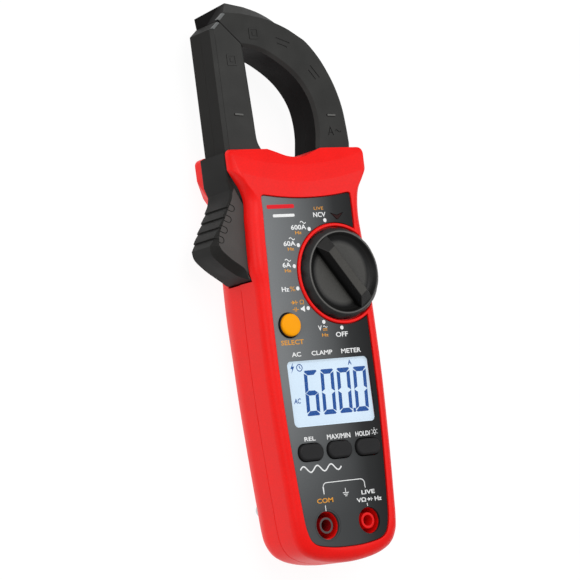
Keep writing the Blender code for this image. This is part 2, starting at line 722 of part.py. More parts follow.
def make_jacks(finishes):
    """Shrouded 4 mm test lead sockets: an insulating sleeve round a brass contact."""
    for name, place in jack_places().items():
        lathe(f"{name}_sleeve", place,
              [(2.6, 8.0), (4.6, 8.0), (4.6, 9.2), (3.1, 9.2), (3.1, 29.4), (2.05, 29.4),
               (2.05, 22.9), (2.6, 22.9)], finishes[name], steps=24)
        lathe(f"{name}_contact", place,
              [(0, 8.6), (1.0, 8.6), (1.0, 11.0), (2.3, 11.0), (2.3, 22.6), (1.95, 22.6),
               (1.95, 12.5), (0, 12.5)], finishes["brass"], steps=16)


# -------------------------------------------------------------------------- electronics
def make_board(finishes):
    outline = [(-21.9, -79.6), (21.9, -79.6), (22.5, -7), (22.3, 20.2), (-6.5, 20.2),
               (-6.5, -7), (-22.5, -7)]
    prism("circuit_board", outline, *BOARD_Z, finishes["board"])
    low = BOARD_Z[0] - GAP
    box("measuring_chip", (-12, -2), (-19, -9), (low - 1.6, low), finishes["chip"])
    lathe("buzzer", (-15.0, -28.0), [(0, low - 4.5), (5.5, low - 4.5), (5.5, low), (0, low)],
          finishes["chip"], steps=24)
    box("input_thermistor", (-19, -12), (-76, -73.5), (low - 5.0, low), finishes["select"])
    lathe("ncv_led", NCV_LED, [(0, 22.1), (1.5, 22.1), (1.5, 25.6), (0.9, 26.5), (0, 26.8)],
          finishes["lens"], steps=12)
    lens = prism("ncv_lens", ncv_outline(), PANEL_Z[0] - 0.2, PANEL_Z[1] + 0.1,
                 finishes["lens"])
    join(lens, cylinder("stem", NCV, 1.9, (27.4, 29.3), steps=16))


def make_batteries(finishes):
    """Two AAA cells lying head to tail, their springs and contact plates."""
    end = CELL_Y + CELL_LENGTH
    for i, side in enumerate((-1, 1), start=1):
        cell = lathe(f"battery_{i}", (0, 0),
                     [(0, 0), (CELL_R, 0), (CELL_R, CELL_LENGTH - 1.0), (1.9, CELL_LENGTH - 1.0),
                      (1.9, CELL_LENGTH), (0, CELL_LENGTH)], finishes["cell"], steps=24)
        start, quarter = (CELL_Y, -90) if side < 0 else (end, 90)
        place = Matrix.Translation(Vector((side * CELL_X, start, CELL_Z)) * MM)
        cell.data.transform(place @ Matrix.Rotation(math.radians(quarter), 4, "X"))
        spot = (side * CELL_X, start + side * GAP * 2, CELL_Z)
        wire(f"battery_spring_{i}", helix(spot, (0, side, 0), 2.6, 1.9, 2), 0.25,
             finishes["steel"], sides=0)
    box("battery_link_plate", (-9, 9), (-81.95, -81.65), (4, 11), finishes["steel"])
    box("battery_end_plate", (-9, 9), (-31.5, -31.2), (4, 11), finishes["steel"])


def main():
    for thing in list(bpy.data.objects):
        bpy.data.objects.remove(thing)
    finishes = {
        "case": material("red_case", (0.85, 0.012, 0.01), 0.35),
        "panel": material("panel_grey", (0.09, 0.095, 0.1), 0.4),
        "jaw_shell": material("jaw_grey", (0.045, 0.045, 0.042), 0.5),
        "trigger": material("trigger_black", (0.03, 0.03, 0.028), 0.5),
        "core": material("core_steel", (0.45, 0.45, 0.47), 0.35, 1.0),
        "knob": material("knob_black", (0.02, 0.02, 0.019), 0.45),
        "key": material("key_black", (0.012, 0.012, 0.014), 0.5),
        "select": material("select_orange", (1.0, 0.37, 0.0), 0.4),
        "clear": material("window_clear", (0.9, 0.95, 1.0), 0.05, alpha=0.3),
        "lcd": material("lcd_glass", (0.6, 0.78, 0.97), 0.2),
        "light": material("backlight_white", (0.9, 0.92, 0.95), 0.5),
        "zebra": material("zebra_rubber", (0.2, 0.2, 0.2), 0.8),
        "bobbin": material("inner_plastic", (0.75, 0.74, 0.7), 0.5),
        "copper": material("copper_wire", (0.75, 0.28, 0.1), 0.35, 1.0),
        "lead": material("lead_insulation", (0.1, 0.1, 0.1), 0.6),
        "steel": material("spring_steel", (0.6, 0.6, 0.62), 0.3, 1.0),
        "brass": material("contact_brass", (0.8, 0.6, 0.25), 0.3, 1.0),
        "rubber": material("keypad_rubber", (0.35, 0.35, 0.36), 0.8),
        "com": material("com_sleeve", (0.16, 0.15, 0.15), 0.45),
        "live": material("live_sleeve", (0.8, 0.015, 0.012), 0.4),
        "board": material("board_green", (0.02, 0.16, 0.05), 0.4),
        "chip": material("chip_black", (0.015, 0.015, 0.015), 0.5),
        "lens": material("ncv_red", (0.25, 0.01, 0.01), 0.15),
        "cell": material("cell_jacket", (0.05, 0.07, 0.1), 0.35),
    }
    make_front_case(finishes["case"])
    make_rear_case(finishes["case"])
    cover = make_battery_cover(finishes["case"])
    cover_screw = screw("battery_cover_screw", COVER_SCREW, 2.4, 1.2, 0.1, 0.7, 9.5,
                        finishes["steel"])
    hang("cover_axis", (*COVER_SCREW, 0), cover, cover_screw)
    for i, place in enumerate(SCREWS, start=1):
        screw(f"case_screw_{i}", place, 2.6, 1.3, 1.9, 4.2, 25.2, finishes["steel"])
    make_jaws(finishes)
    make_coil(finishes)
    make_pivot(finishes)
    make_panel(finishes["panel"])
    make_display(finishes)
    make_knob(finishes)
    make_buttons(finishes)
    make_jacks(finishes)
    make_board(finishes)
    make_batteries(finishes)


main()
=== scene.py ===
"""Looks of a pocket clamp meter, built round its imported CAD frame.

The meter lies on its back: +Z is out of its face, +Y runs towards the jaws.  Shapes
are made in millimetres, and settle() turns each finished piece into metres.
"""
import math

import bmesh
import bpy
from mathutils import Matrix, Vector


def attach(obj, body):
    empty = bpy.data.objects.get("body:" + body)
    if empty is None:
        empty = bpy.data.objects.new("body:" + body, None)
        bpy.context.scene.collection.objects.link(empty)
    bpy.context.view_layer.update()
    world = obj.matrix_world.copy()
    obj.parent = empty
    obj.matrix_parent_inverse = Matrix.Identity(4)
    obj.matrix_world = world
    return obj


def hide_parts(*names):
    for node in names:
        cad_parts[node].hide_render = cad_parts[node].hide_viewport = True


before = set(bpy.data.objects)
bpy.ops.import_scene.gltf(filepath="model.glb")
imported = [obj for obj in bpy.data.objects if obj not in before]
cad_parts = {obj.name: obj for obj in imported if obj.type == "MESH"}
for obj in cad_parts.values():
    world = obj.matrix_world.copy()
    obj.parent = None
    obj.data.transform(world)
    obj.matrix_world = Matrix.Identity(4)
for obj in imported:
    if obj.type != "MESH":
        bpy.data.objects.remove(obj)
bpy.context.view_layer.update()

MM = 0.001
GAP = 0.3
SEAM = 0.14                   # line between two halves of a shell
STRAIGHT = 0.08               # sine of the turn below which an outline counts as straight

# ---- levels and outlines shared with the CAD ---------------------------------------
PARTING_Z = 18.0
FACE_Z = 30.9
PANEL_Z = (29.4, 30.4)
RECESS_Z = 29.1
WALL_TOP_Z = 27.0
SLOT_Z = (9.9, 26.4)
JAW_Z = (10.3, 26.1)
JAW_MARK_Z = 26.42            # only the raised dashes on the jaws stand above this
CORE_Z = (13.5, 22.8)
WALL = 2.0
BACK_ROUND = 11.5
FRONT_ROUND = 4.5
BODY_HALF = 25.8
HEAD_HALF = 31.2
HEAD_EDGE_Z = 5.7
LEVER_COVER = 1.6             # how far the front bulges out over the lever
CASE_TOP_DIP = [(0, 44.8), (4.5, 45.3), (8.5, 46.7), (12.2, 48.0)]
CASE_SIDE = [(29.4, 37.4), (26.9, 32.9), (25.6, 28), (24.9, 21), (25.3, 12), (25.9, -4),
             (26.2, -24), (26.1, -42), (25.3, -64), (24.3, -82), (23.6, -93),
             (22.4, -98.5), (18.9, -102.8), (11.4, -105.6), (0, -106.8)]
SCREWS = [(-11.0, 24.0), (11.0, 24.0), (-18.5, -84.0), (18.5, -84.0)]
PIVOT = (-19.5, 32.0)
ROOT_R = 7.0
MATE_IN = (-16.0, 86.8)
MATE_OUT = (-26.2, 96.7)
LEVER_SWEEP = 33.9            # radius of the slot that the lever swings in
CREASE_ACROSS = (0.882, -0.471)    # direction across the crease in the lever's face
CREASE_SPAN = (-41.4, -41.2)  # how far along it the crease begins and ends
KNOB = (10.78, -0.35)
KNOB_R = 17.3
KNOB_RECESS_R = 17.75
KNOB_TURN = 125.8             # direction of the grip bar, in degrees from +X
STOP_RING = 20.5              # radius of the ring of dots at the knob's eight stops
FIRST_STOP, STOP_STEP = 99.9, 23.4    # direction of the first stop and the turn between stops
RING_R = 19.0
LCD = (0.0, -44.0)
WINDOW = (37.3, 24.3)
KEY_Y = -65.6
KEYS = {"rel_button": -13.0, "max_min_button": 0.0, "hold_button": 13.0}
KEY_SIZE = (10.8, 6.2)
SELECT = (-15.2, -18.6)
SELECT_R = 4.5
JACK_SPACING = 19.05
JACK_Y = -92.7
JACK_R = 4.85
NCV = (13.1, 21.3)
COVER = ((-12.8, 12.8), (-82.8, -24.0))
COVER_SCREW = (0.0, -27.4)


# ---------------------------------------------------------------- outlines and points
def mix(a, b, t):
    return tuple(p + (q - p) * t for p, q in zip(a, b))


def spline(points, steps, start=None, end=None):
    """Catmull-Rom curve through points; start and end are the points beyond its ends."""
    path = [Vector(p) for p in points]
    before = Vector(start) if start else 2 * path[0] - path[1]
    after = Vector(end) if end else 2 * path[-1] - path[-2]
    path = [before] + path + [after]
    out = []
    for a, b, c, d in zip(path, path[1:], path[2:], path[3:]):
        for i in range(steps):
            t = i / steps
            out.append(0.5 * (2 * b + (c - a) * t + (2 * a - 5 * b + 4 * c - d) * t ** 2
                              + (3 * b - a - 3 * c + d) * t ** 3))
    return [tuple(p) for p in out] + [tuple(path[-2])]


def arc(centre, radius, start, end, steps):
    angles = [math.radians(start + (end - start) * i / steps) for i in range(steps + 1)]
    return [(centre[0] + radius * math.cos(a), centre[1] + radius * math.sin(a))
            for a in angles]


def circle(centre, radius, steps=48):
    return arc(centre, radius, 0, 360 - 360 / steps, steps - 1)


def rounded_box(centre, size, radius, steps=8):
    hx, hy = size[0] / 2 - radius, size[1] / 2 - radius
    out = []
    for sx, sy, start in ((1, 1, 0), (-1, 1, 90), (-1, -1, 180), (1, -1, 270)):
        corner = (centre[0] + sx * hx, centre[1] + sy * hy)
        out += arc(corner, radius, start, start + 90, steps)
    return out


def inset(outline, distance):
    """The outline moved inwards; distance may be a list, one for the edge after each point."""
    count = len(outline)
    each = distance if isinstance(distance, list) else [distance] * count
    area = sum(outline[i - 1][0] * outline[i][1] - outline[i][0] * outline[i - 1][1]
               for i in range(count))
    side = math.copysign(1, area)
    out = []
    for i in range(count):
        here = Vector(outline[i])
        before = (here - Vector(outline[i - 1])).normalized()
        after = (Vector(outline[(i + 1) % count]) - here).normalized()
        normal_a = Vector((-before.y, before.x)) * side
        normal_b = Vector((-after.y, after.x)) * side
        cross = normal_a.cross(normal_b)
        if abs(cross) < STRAIGHT:
            move = (normal_a + normal_b) * (each[i - 1] + each[i]) / 4
        else:
            move = Vector((each[i - 1] * normal_b.y - each[i] * normal_a.y,
                           each[i] * normal_a.x - each[i - 1] * normal_b.x)) / cross
        out.append(tuple(here + move))
    return out


def mirrored(half):
    return half + [(-x, y) for x, y in half[-2:0:-1]]


def at(outline, z):
    return [(x, y, z) for x, y in outline]


def quarter(radius, base, steps, rising=True):
    """(distance, z) pairs of a quarter round between a side and a face."""
    out = []
    for i in range(steps + 1):
        a = math.pi / 2 * i / steps
        out.append((radius * (1 - math.cos(a)),
                    base + radius * math.sin(a) * (1 if rising else -1)))
    return out


# --------------------------------------------------------------------- making meshes
def build(points, faces):
    form = bmesh.new()
    corners = [form.verts.new(p) for p in points]
    for face in faces:
        form.faces.new([corners[i] for i in face])
    bmesh.ops.recalc_face_normals(form, faces=form.faces)
    mesh = bpy.data.meshes.new("form")
    form.to_mesh(mesh)
    form.free()
    thing = bpy.data.objects.new("form", mesh)
    bpy.context.scene.collection.objects.link(thing)
    return thing


def loft(loops):
    count = len(loops[0])
    points = [p for loop in loops for p in loop]
    faces = [list(range(count)), [len(points) - count + i for i in range(count)]]
    for row in range(len(loops) - 1):
        for i in range(count):
            j = (i + 1) % count
            a, b = row * count, (row + 1) * count
            faces.append([a + i, a + j, b + j, b + i])
    return build(points, faces)


def prism(outline, low, high, top=0.0, bottom=0.0, steps=3):
    """The outline raised from low to high, with rounded edges at its top and bottom."""
    rows = []
    if bottom:
        rows += quarter(bottom, low + bottom, steps, rising=False)[::-1]
    else:
        rows.append((0, low))
    rows += quarter(top, high - top, steps) if top else [(0, high)]
    return loft([at(inset(outline, d) if d else outline, z) for d, z in rows])


def box(x, y, z):
    return prism([(x[0], y[0]), (x[1], y[0]), (x[1], y[1]), (x[0], y[1])], *z)


def cylinder(centre, radius, low, high, steps=48):
    return prism(circle(centre, radius, steps), low, high)


def well(outline, low, surface, flare, high):
    """Cutter for a hole whose mouth at the surface is rounded."""
    rows = [(0, low)] + quarter(flare, surface - flare, 3)
    rows[-1] = (flare, surface + 0.02)
    rows.append((flare, high))
    return loft([at(inset(outline, -d) if d else outline, z) for d, z in rows])


def ribbon(points, width, low, high, closed=False):
    """A line of a given width, raised from low to high."""
    path = [Vector(p) for p in points]
    left, right = [], []
    count = len(path)
    for i, here in enumerate(path):
        before = path[i - 1] if i or closed else None
        after = path[(i + 1) % count] if i < count - 1 or closed else None
        a = (here - before).normalized() if before else (after - here).normalized()
        b = (after - here).normalized() if after else a
        bend = (Vector((-a.y, a.x)) + Vector((-b.y, b.x)))
        reach = bend * (width / max(bend.length_squared, 0.8))
        left.append(tuple(here + reach))
        right.append(tuple(here - reach))
    if not closed:
        return prism(left + right[::-1], low, high)
    points = at(left, low) + at(right, low) + at(left, high) + at(right, high)
    faces = []
    for i in range(count):
        j = (i + 1) % count
        for a, b in ((0, 1), (1, 3), (3, 2), (2, 0)):
            faces.append([a * count + i, a * count + j, b * count + j, b * count + i])
    return build(points, faces)


def lathe(centre, profile, steps=64, flutes=0):
    """A profile of (radius, height[, flute depth]) turned about a vertical line."""
    points, rings = [], []
    for radius, z, *cut in profile:
        if radius == 0:
            rings.append([len(points)] * steps)
            points.append((*centre, z))
            continue
        rings.append([len(points) + i for i in range(steps)])
        for i in range(steps):
            a = 2 * math.pi * i / steps
            notch = (0.5 + 0.5 * math.cos(flutes * a)) ** 5 if cut else 0
            reach = radius - (cut[0] * notch if cut else 0)
            points.append((centre[0] + reach * math.cos(a), centre[1] + reach * math.sin(a), z))
    faces = []
    for a, b in zip(rings, rings[1:] + rings[:1]):
        for i in range(steps):
            j = (i + 1) % steps
            face = list(dict.fromkeys((a[i], a[j], b[j], b[i])))
            if len(face) > 2:
                faces.append(face)
    return build(points, faces)


def group(*things):
    """Several separate forms as one object."""
    first = things[0]
    form = bmesh.new()
    for thing in things:
        form.from_mesh(thing.data)
    form.to_mesh(first.data)
    form.free()
    for thing in things[1:]:
        bpy.data.objects.remove(thing)
    return first


def bake(thing):
    """Apply the modifiers of a form."""
    graph = bpy.context.evaluated_depsgraph_get()
    mesh = bpy.data.meshes.new_from_object(thing.evaluated_get(graph))
    thing.modifiers.clear()
    thing.data = mesh
    return thing


def carve(target, *cutters, operation="DIFFERENCE"):
    for cutter in cutters:
        modifier = target.modifiers.new("carve", "BOOLEAN")
        modifier.operation = operation
        modifier.solver = "EXACT"
        modifier.object = cutter
        bake(target)
        bpy.data.objects.remove(cutter)
    return target


def join(target, *things):
    return carve(target, *things, operation="UNION")


def soften(thing, width, segments=2):
    """Round the sharp edges of a simple form."""
    modifier = thing.modifiers.new("soften", "BEVEL")
    modifier.width = width
    modifier.segments = segments
    modifier.limit_method = "ANGLE"
    modifier.angle_limit = math.radians(30)
    return bake(thing)


def settle(thing, name, body, slot, finish, *nodes, angle=38, flat=False):
    """A finished piece: metres, shading, material, its body and the nodes it stands for."""
    thing.name = thing.data.name = name
    thing.data.transform(Matrix.Scale(MM, 4))
    thing.data.materials.clear()
    thing.data.materials.append(finish)
    if not flat:
        thing.data.shade_smooth()
        thing.data.set_sharp_from_angle(angle=math.radians(angle))
        modifier = thing.modifiers.new("normals", "WEIGHTED_NORMAL")
        modifier.keep_sharp = True
        modifier.weight = 60
        bake(thing)
        thing.data.name = name
    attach(thing, body)
    if nodes:
        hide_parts(*nodes)
    return thing


# -------------------------------------------------------------------------- materials
class Finish:
    """A node material whose colour, gloss and grain follow the object's own space."""

    def __init__(self, name, roughness, metallic=0.0, **constants):
        self.material = bpy.data.materials.new(name)
        self.material.use_nodes = True
        self.tree = self.material.node_tree
        self.shader = self.tree.nodes["Principled BSDF"]
        self.shader.inputs["Roughness"].default_value = roughness
        self.shader.inputs["Metallic"].default_value = metallic
        for socket, value in constants.items():
            self.shader.inputs[socket.replace("_", " ")].default_value = value
        self.place = self.tree.nodes.new("ShaderNodeTexCoord")
        self.coords = self.place.outputs["Object"]

    def node(self, kind, *links, **values):
        """A node, its inputs linked in order from links, other sockets set by name."""
        made = self.tree.nodes.new(kind)
        for key, value in values.items():
            if hasattr(made, key):
                setattr(made, key, value)
            else:
                made.inputs[key.replace("_", " ")].default_value = value
        for source, target in zip(links, made.inputs):
            if source is not None:
                self.tree.links.new(source, target)
        return made

    def noise(self, scale, detail=3.0, roughness=0.55, stretch=None):
        source = self.coords
        if stretch:
            mapping = self.node("ShaderNodeMapping", source)
            mapping.inputs["Scale"].default_value = stretch
            source = mapping.outputs[0]
        made = self.node("ShaderNodeTexNoise", source, Scale=scale, Detail=detail,
                         Roughness=roughness)
        return made.outputs["Fac"]

    def ramp(self, source, *stops):
        made = self.node("ShaderNodeValToRGB", source)
        points = made.color_ramp.elements
        while len(points) < len(stops):
            points.new(0.5)
        for point, (place, color) in zip(points, stops):
            point.position = place
            point.color = (*color, 1.0)
        return made.outputs["Color"]

    def between(self, source, dark, light, low=0.3, high=0.7):
        """A colour that goes from dark to light as the source goes from low to high."""
        return self.ramp(source, (low, dark), (high, light))

    def level(self, source, low, high, to_low, to_high):
        made = self.node("ShaderNodeMapRange", source)
        for i, value in enumerate((low, high, to_low, to_high), start=1):
            made.inputs[i].default_value = value
        return made.outputs[0]

    def blend(self, factor, a, b, mode="MIX"):
        made = self.tree.nodes.new("ShaderNodeMix")
        made.data_type = "RGBA"
        made.blend_type = mode
        self.feed(factor, made.inputs[0])
        self.feed(a, made.inputs[6])
        self.feed(b, made.inputs[7])
        return made.outputs[2]

    def feed(self, value, socket):
        if isinstance(value, bpy.types.NodeSocket):
            self.tree.links.new(value, socket)
        else:
            socket.default_value = (*value, 1.0) if isinstance(value, tuple) else value

    def color(self, source):
        self.tree.links.new(source, self.shader.inputs["Base Color"])

    def gloss(self, source, at_low, at_high, low=0.3, high=0.7):
        rough = self.level(source, low, high, at_low, at_high)
        self.tree.links.new(rough, self.shader.inputs["Roughness"])

    def bump(self, source, strength, distance):
        made = self.node("ShaderNodeBump", Strength=strength, Distance=distance)
        self.tree.links.new(source, made.inputs["Height"])
        self.tree.links.new(made.outputs[0], self.shader.inputs["Normal"])

    def grained(self, tone, scale, roughness, specks, strength, depth):
        """Its colour under dark specks that are also its grain; specks is (dark, low, high)."""
        fine = self.noise(scale, 3.0, roughness)
        dark, low, high = specks
        cover = self.between(fine, (dark,) * 3, (1.0,) * 3, low, high)
        self.color(self.blend(1.0, tone, cover, "MULTIPLY"))
        self.bump(fine, strength, depth)

    def axis(self, index):
        parts = self.node("ShaderNodeSeparateXYZ", self.coords)
        return parts.outputs[index]

    def facing(self, low=0.55, high=0.93):
        """1 where a surface looks out of the meter's face, 0 on its sides."""
        parts = self.node("ShaderNodeSeparateXYZ", self.place.outputs["Normal"])
        return self.level(parts.outputs[2], low, high, 0.0, 1.0)

    def past_crease(self):
        """1 on the face of the lever, 0 beyond the crease that runs in under the case, where the
        face is painted in the wall tone as painted shade.
        """
        across = self.node("ShaderNodeVectorMath", self.coords, operation="DOT_PRODUCT")
        across.inputs[1].default_value = (*CREASE_ACROSS, 0.0)
        low, high = (at * MM for at in CREASE_SPAN)
        return self.level(across.outputs["Value"], low, high, 0.0, 1.0)


GRAIN_DEPTH = 0.00006         # metres, of a spark-eroded mould


def shades(color, spread):
    return (tuple(c * (1 - spread) for c in color), tuple(min(1, c * (1 + spread)) for c in color))


def plastic(name, color, roughness, side=None, spread=0.08, grain=1800, bump=0.12,
            shine=0.25, turn=(0.55, 0.93), painted_highlight_above=None, crease=False):
    """Moulded plastic: slow mottling in colour, uneven gloss and a fine spark-eroded grain.

    side is its colour on the walls and turn is where one gives way to the other: on the jaws
    and the lever side is a darker tone, painted shade on the walls, and on the COM sleeve it is
    the sleeve's own red.  Marks raised above painted_highlight_above are painted paler, a painted
    highlight.  With crease, the face beyond the lever's crease takes the dark wall tone and the
    steepest walls are painted darkest, both painted shade."""
    made = Finish(name, roughness, Specular_IOR_Level=shine)
    slow = made.noise(90, 2.0)
    tone = made.between(slow, *shades(color, spread))
    # Painted shade: walls turned away from the face take the darker side tone (the COM sleeve's
    # red is its own colour).
    if side:
        front = made.facing(*turn)
        wall = made.between(slow, *shades(side, spread))
        # Painted shade on the lever: beyond the crease the face takes the wall tone, and the
        # steepest walls are darkened further.
        if crease:
            front = made.node("ShaderNodeMath", front, made.past_crease(),
                              operation="MULTIPLY").outputs[0]
            slope = made.between(made.facing(0.15, 0.6), (0.6,) * 3, (1.0,) * 3, 0.0, 1.0)
            wall = made.blend(1.0, wall, slope, "MULTIPLY")
        tone = made.blend(front, wall, tone)
    # Painted highlight: marks standing above this height are painted paler.
    if painted_highlight_above:
        painted_highlight_mask = made.level(made.axis(2), painted_highlight_above * MM, (painted_highlight_above + 0.1) * MM, 0.0, 1.0)
        tone = made.blend(painted_highlight_mask, tone, (0.15, 0.15, 0.145))
    made.grained(tone, grain, 0.6, (0.93, 0.35, 0.65), bump, GRAIN_DEPTH)
    made.gloss(slow, roughness - 0.04, roughness + 0.05)
    return made.material


def metal(name, color, roughness, stretch=(1, 1, 12)):
    """Metal with fine drawn or turned scratches."""
    made = Finish(name, roughness, metallic=1.0)
    lines = made.noise(900, 4.0, 0.6, stretch)
    made.color(made.between(lines, *shades(color, 0.12)))
    made.gloss(lines, roughness - 0.06, roughness + 0.1)
    made.bump(lines, 0.15, 0.00003)
    return made.material


def ink(name, color):
    """Screen-printed ink, a little uneven."""
    made = Finish(name, 0.5, Specular_IOR_Level=0.15)
    film = made.noise(1500, 2.0)
    made.color(made.between(film, *shades(color, 0.04), 0.35, 0.65))
    made.bump(film, 0.1, 0.00002)
    return made.material


def face_finish_painted_reflection():
    """The printed face: satin grey under a painted reflection, paler at its upper left and
    deepening towards its right side and its foot.
    """
    made = Finish("panel_satin_painted_reflection", 0.42, Specular_IOR_Level=0.08)
    across = made.level(made.axis(0), -0.02, 0.02, 0.0, 1.0)

    def grey(*stops):
        return made.ramp(across, *[(place, (0.95 * v, v, 1.03 * v)) for place, v in stops])

    # Painted reflection of the light: the grey falls off from left to right, and is dimmer on the
    # foot.
    top = grey((0.0, 0.225), (0.3, 0.165), (0.6, 0.09), (0.8, 0.03), (1.0, 0.016))
    foot = grey((0.0, 0.085), (0.25, 0.07), (0.6, 0.055), (0.8, 0.028), (1.0, 0.015))
    tone = made.blend(made.level(made.axis(1), -0.04, -0.09, 0.0, 1.0), top, foot)
    made.grained(tone, 2600, 0.65, (0.86, 0.3, 0.7), 0.1, 0.00004)
    made.gloss(made.noise(120, 2.0), 0.38, 0.46)
    return made.material


def knob_finish_painted_light():
    """Black plastic with painted light: a paler floor, a near-black inner wall as painted shade,
    a thin painted highlight along its rim, and the top of the grip bar paler than its near-black
    sides.
    """
    made = Finish("knob_black", 0.42, Specular_IOR_Level=0.2)
    place = made.node("ShaderNodeVectorMath", made.coords, operation="MULTIPLY")
    place.inputs[1].default_value = (1, 1, 0)
    middle = made.node("ShaderNodeVectorMath", place.outputs[0], operation="DISTANCE")
    middle.inputs[1].default_value = (KNOB[0] * MM, KNOB[1] * MM, 0)
    reach = made.level(middle.outputs["Value"], 0.0, KNOB_R * MM, 0.0, 1.0)
    # Painted light by distance from the axis: a paler floor, painted shade on the steep inner
    # wall, a thin painted highlight ring on the rim.
    body = made.ramp(reach, (0.0, (0.055, 0.054, 0.05)), (0.63, (0.062, 0.061, 0.057)),
                     (0.71, (0.01,) * 3), (0.87, (0.006,) * 3), (0.883, (0.14, 0.137, 0.13)),
                     (0.893, (0.14, 0.137, 0.13)), (0.91, (0.026,) * 3))
    # Painted light and shade on the grip bar by facing: its top paler, its sides near-black.
    ridge = made.ramp(made.facing(0.4, 1.0), (0.0, (0.002,) * 3), (0.3, (0.003,) * 3),
                      (0.7, (0.018, 0.0178, 0.017)), (0.85, (0.02, 0.0197, 0.019)),
                      (1.0, (0.054, 0.052, 0.047)))
    raised = made.level(made.axis(2), 0.0318, 0.0321, 0.0, 1.0)
    within = made.level(reach, 0.855, 0.86, 1.0, 0.0)
    both = made.node("ShaderNodeMath", raised, within, operation="MULTIPLY").outputs[0]
    made.grained(made.blend(both, body, ridge), 1800, 0.6, (0.85, 0.35, 0.65), 0.15,
                 GRAIN_DEPTH)
    made.gloss(made.noise(90, 2.0), 0.38, 0.48)
    return made.material


def button_finish_painted_shade():
    """Orange cap whose lower side wall, in the gap round it, is painted near-black as painted
    shade.
    """
    made = Finish("select_orange", 0.42, Specular_IOR_Level=0.1)
    cap = made.between(made.noise(90, 2.0), (0.97, 0.35, 0.0), (1.0, 0.38, 0.0))
    # Painted shade: near-black below about 31 mm, where the cap's side stands in the gap round it.
    foot = made.between(made.noise(600), (0.008,) * 3, (0.015,) * 3)
    made.color(made.blend(made.level(made.axis(2), 0.0309, 0.0312, 0.0, 1.0), foot, cap))
    made.bump(made.noise(1800, 3.0, 0.6), 0.06, GRAIN_DEPTH)
    return made.material


def display_finish():
    """The lit face of the liquid crystal display."""
    made = Finish("display_lit", 0.3, Specular_IOR_Level=0.1, Emission_Strength=0.7)
    glow = made.noise(45, 1.0)
    made.color(made.between(glow, (0.38, 0.48, 0.6), (0.41, 0.51, 0.62)))
    light = made.between(glow, (0.65, 0.78, 0.88), (0.69, 0.81, 0.91))
    made.tree.links.new(light, made.shader.inputs["Emission Color"])
    made.bump(made.noise(3000), 0.03, 0.00002)
    return made.material


def pane_finish():
    """Clear plastic window, faintly uneven."""
    made = Finish("window_clear", 0.08, Alpha=0.08, Specular_IOR_Level=0.3)
    film = made.noise(60, 2.0)
    made.color(made.between(film, (0.02, 0.025, 0.03), (0.04, 0.045, 0.05)))
    made.gloss(film, 0.05, 0.11)
    made.material.surface_render_method = "BLENDED"
    return made.material


def layered(name, dark, light, axis, pitch, roughness, metallic=0.0):
    """Stacked sheets or wound turns: fine bands across one axis."""
    made = Finish(name, roughness, metallic=metallic)
    wave = made.node("ShaderNodeTexWave", made.coords, Scale=0.314 / pitch, Distortion=0.4,
                     bands_direction=axis).outputs["Fac"]
    made.color(made.between(wave, dark, light, 0.2, 0.6))
    made.gloss(wave, roughness + 0.15, roughness, 0.0, 1.0)
    made.bump(wave, 0.5, 0.0001)
    return made.material


def board_finish():
    """Green solder mask over faint copper tracks."""
    made = Finish("board_green", 0.35)
    tracks = made.node("ShaderNodeTexVoronoi", made.coords, Scale=420.0,
                       distance="MANHATTAN", feature="F1").outputs["Distance"]
    made.color(made.between(tracks, (0.01, 0.11, 0.035), (0.02, 0.2, 0.06), 0.25, 0.32))
    made.bump(tracks, 0.1, 0.00003)
    return made.material


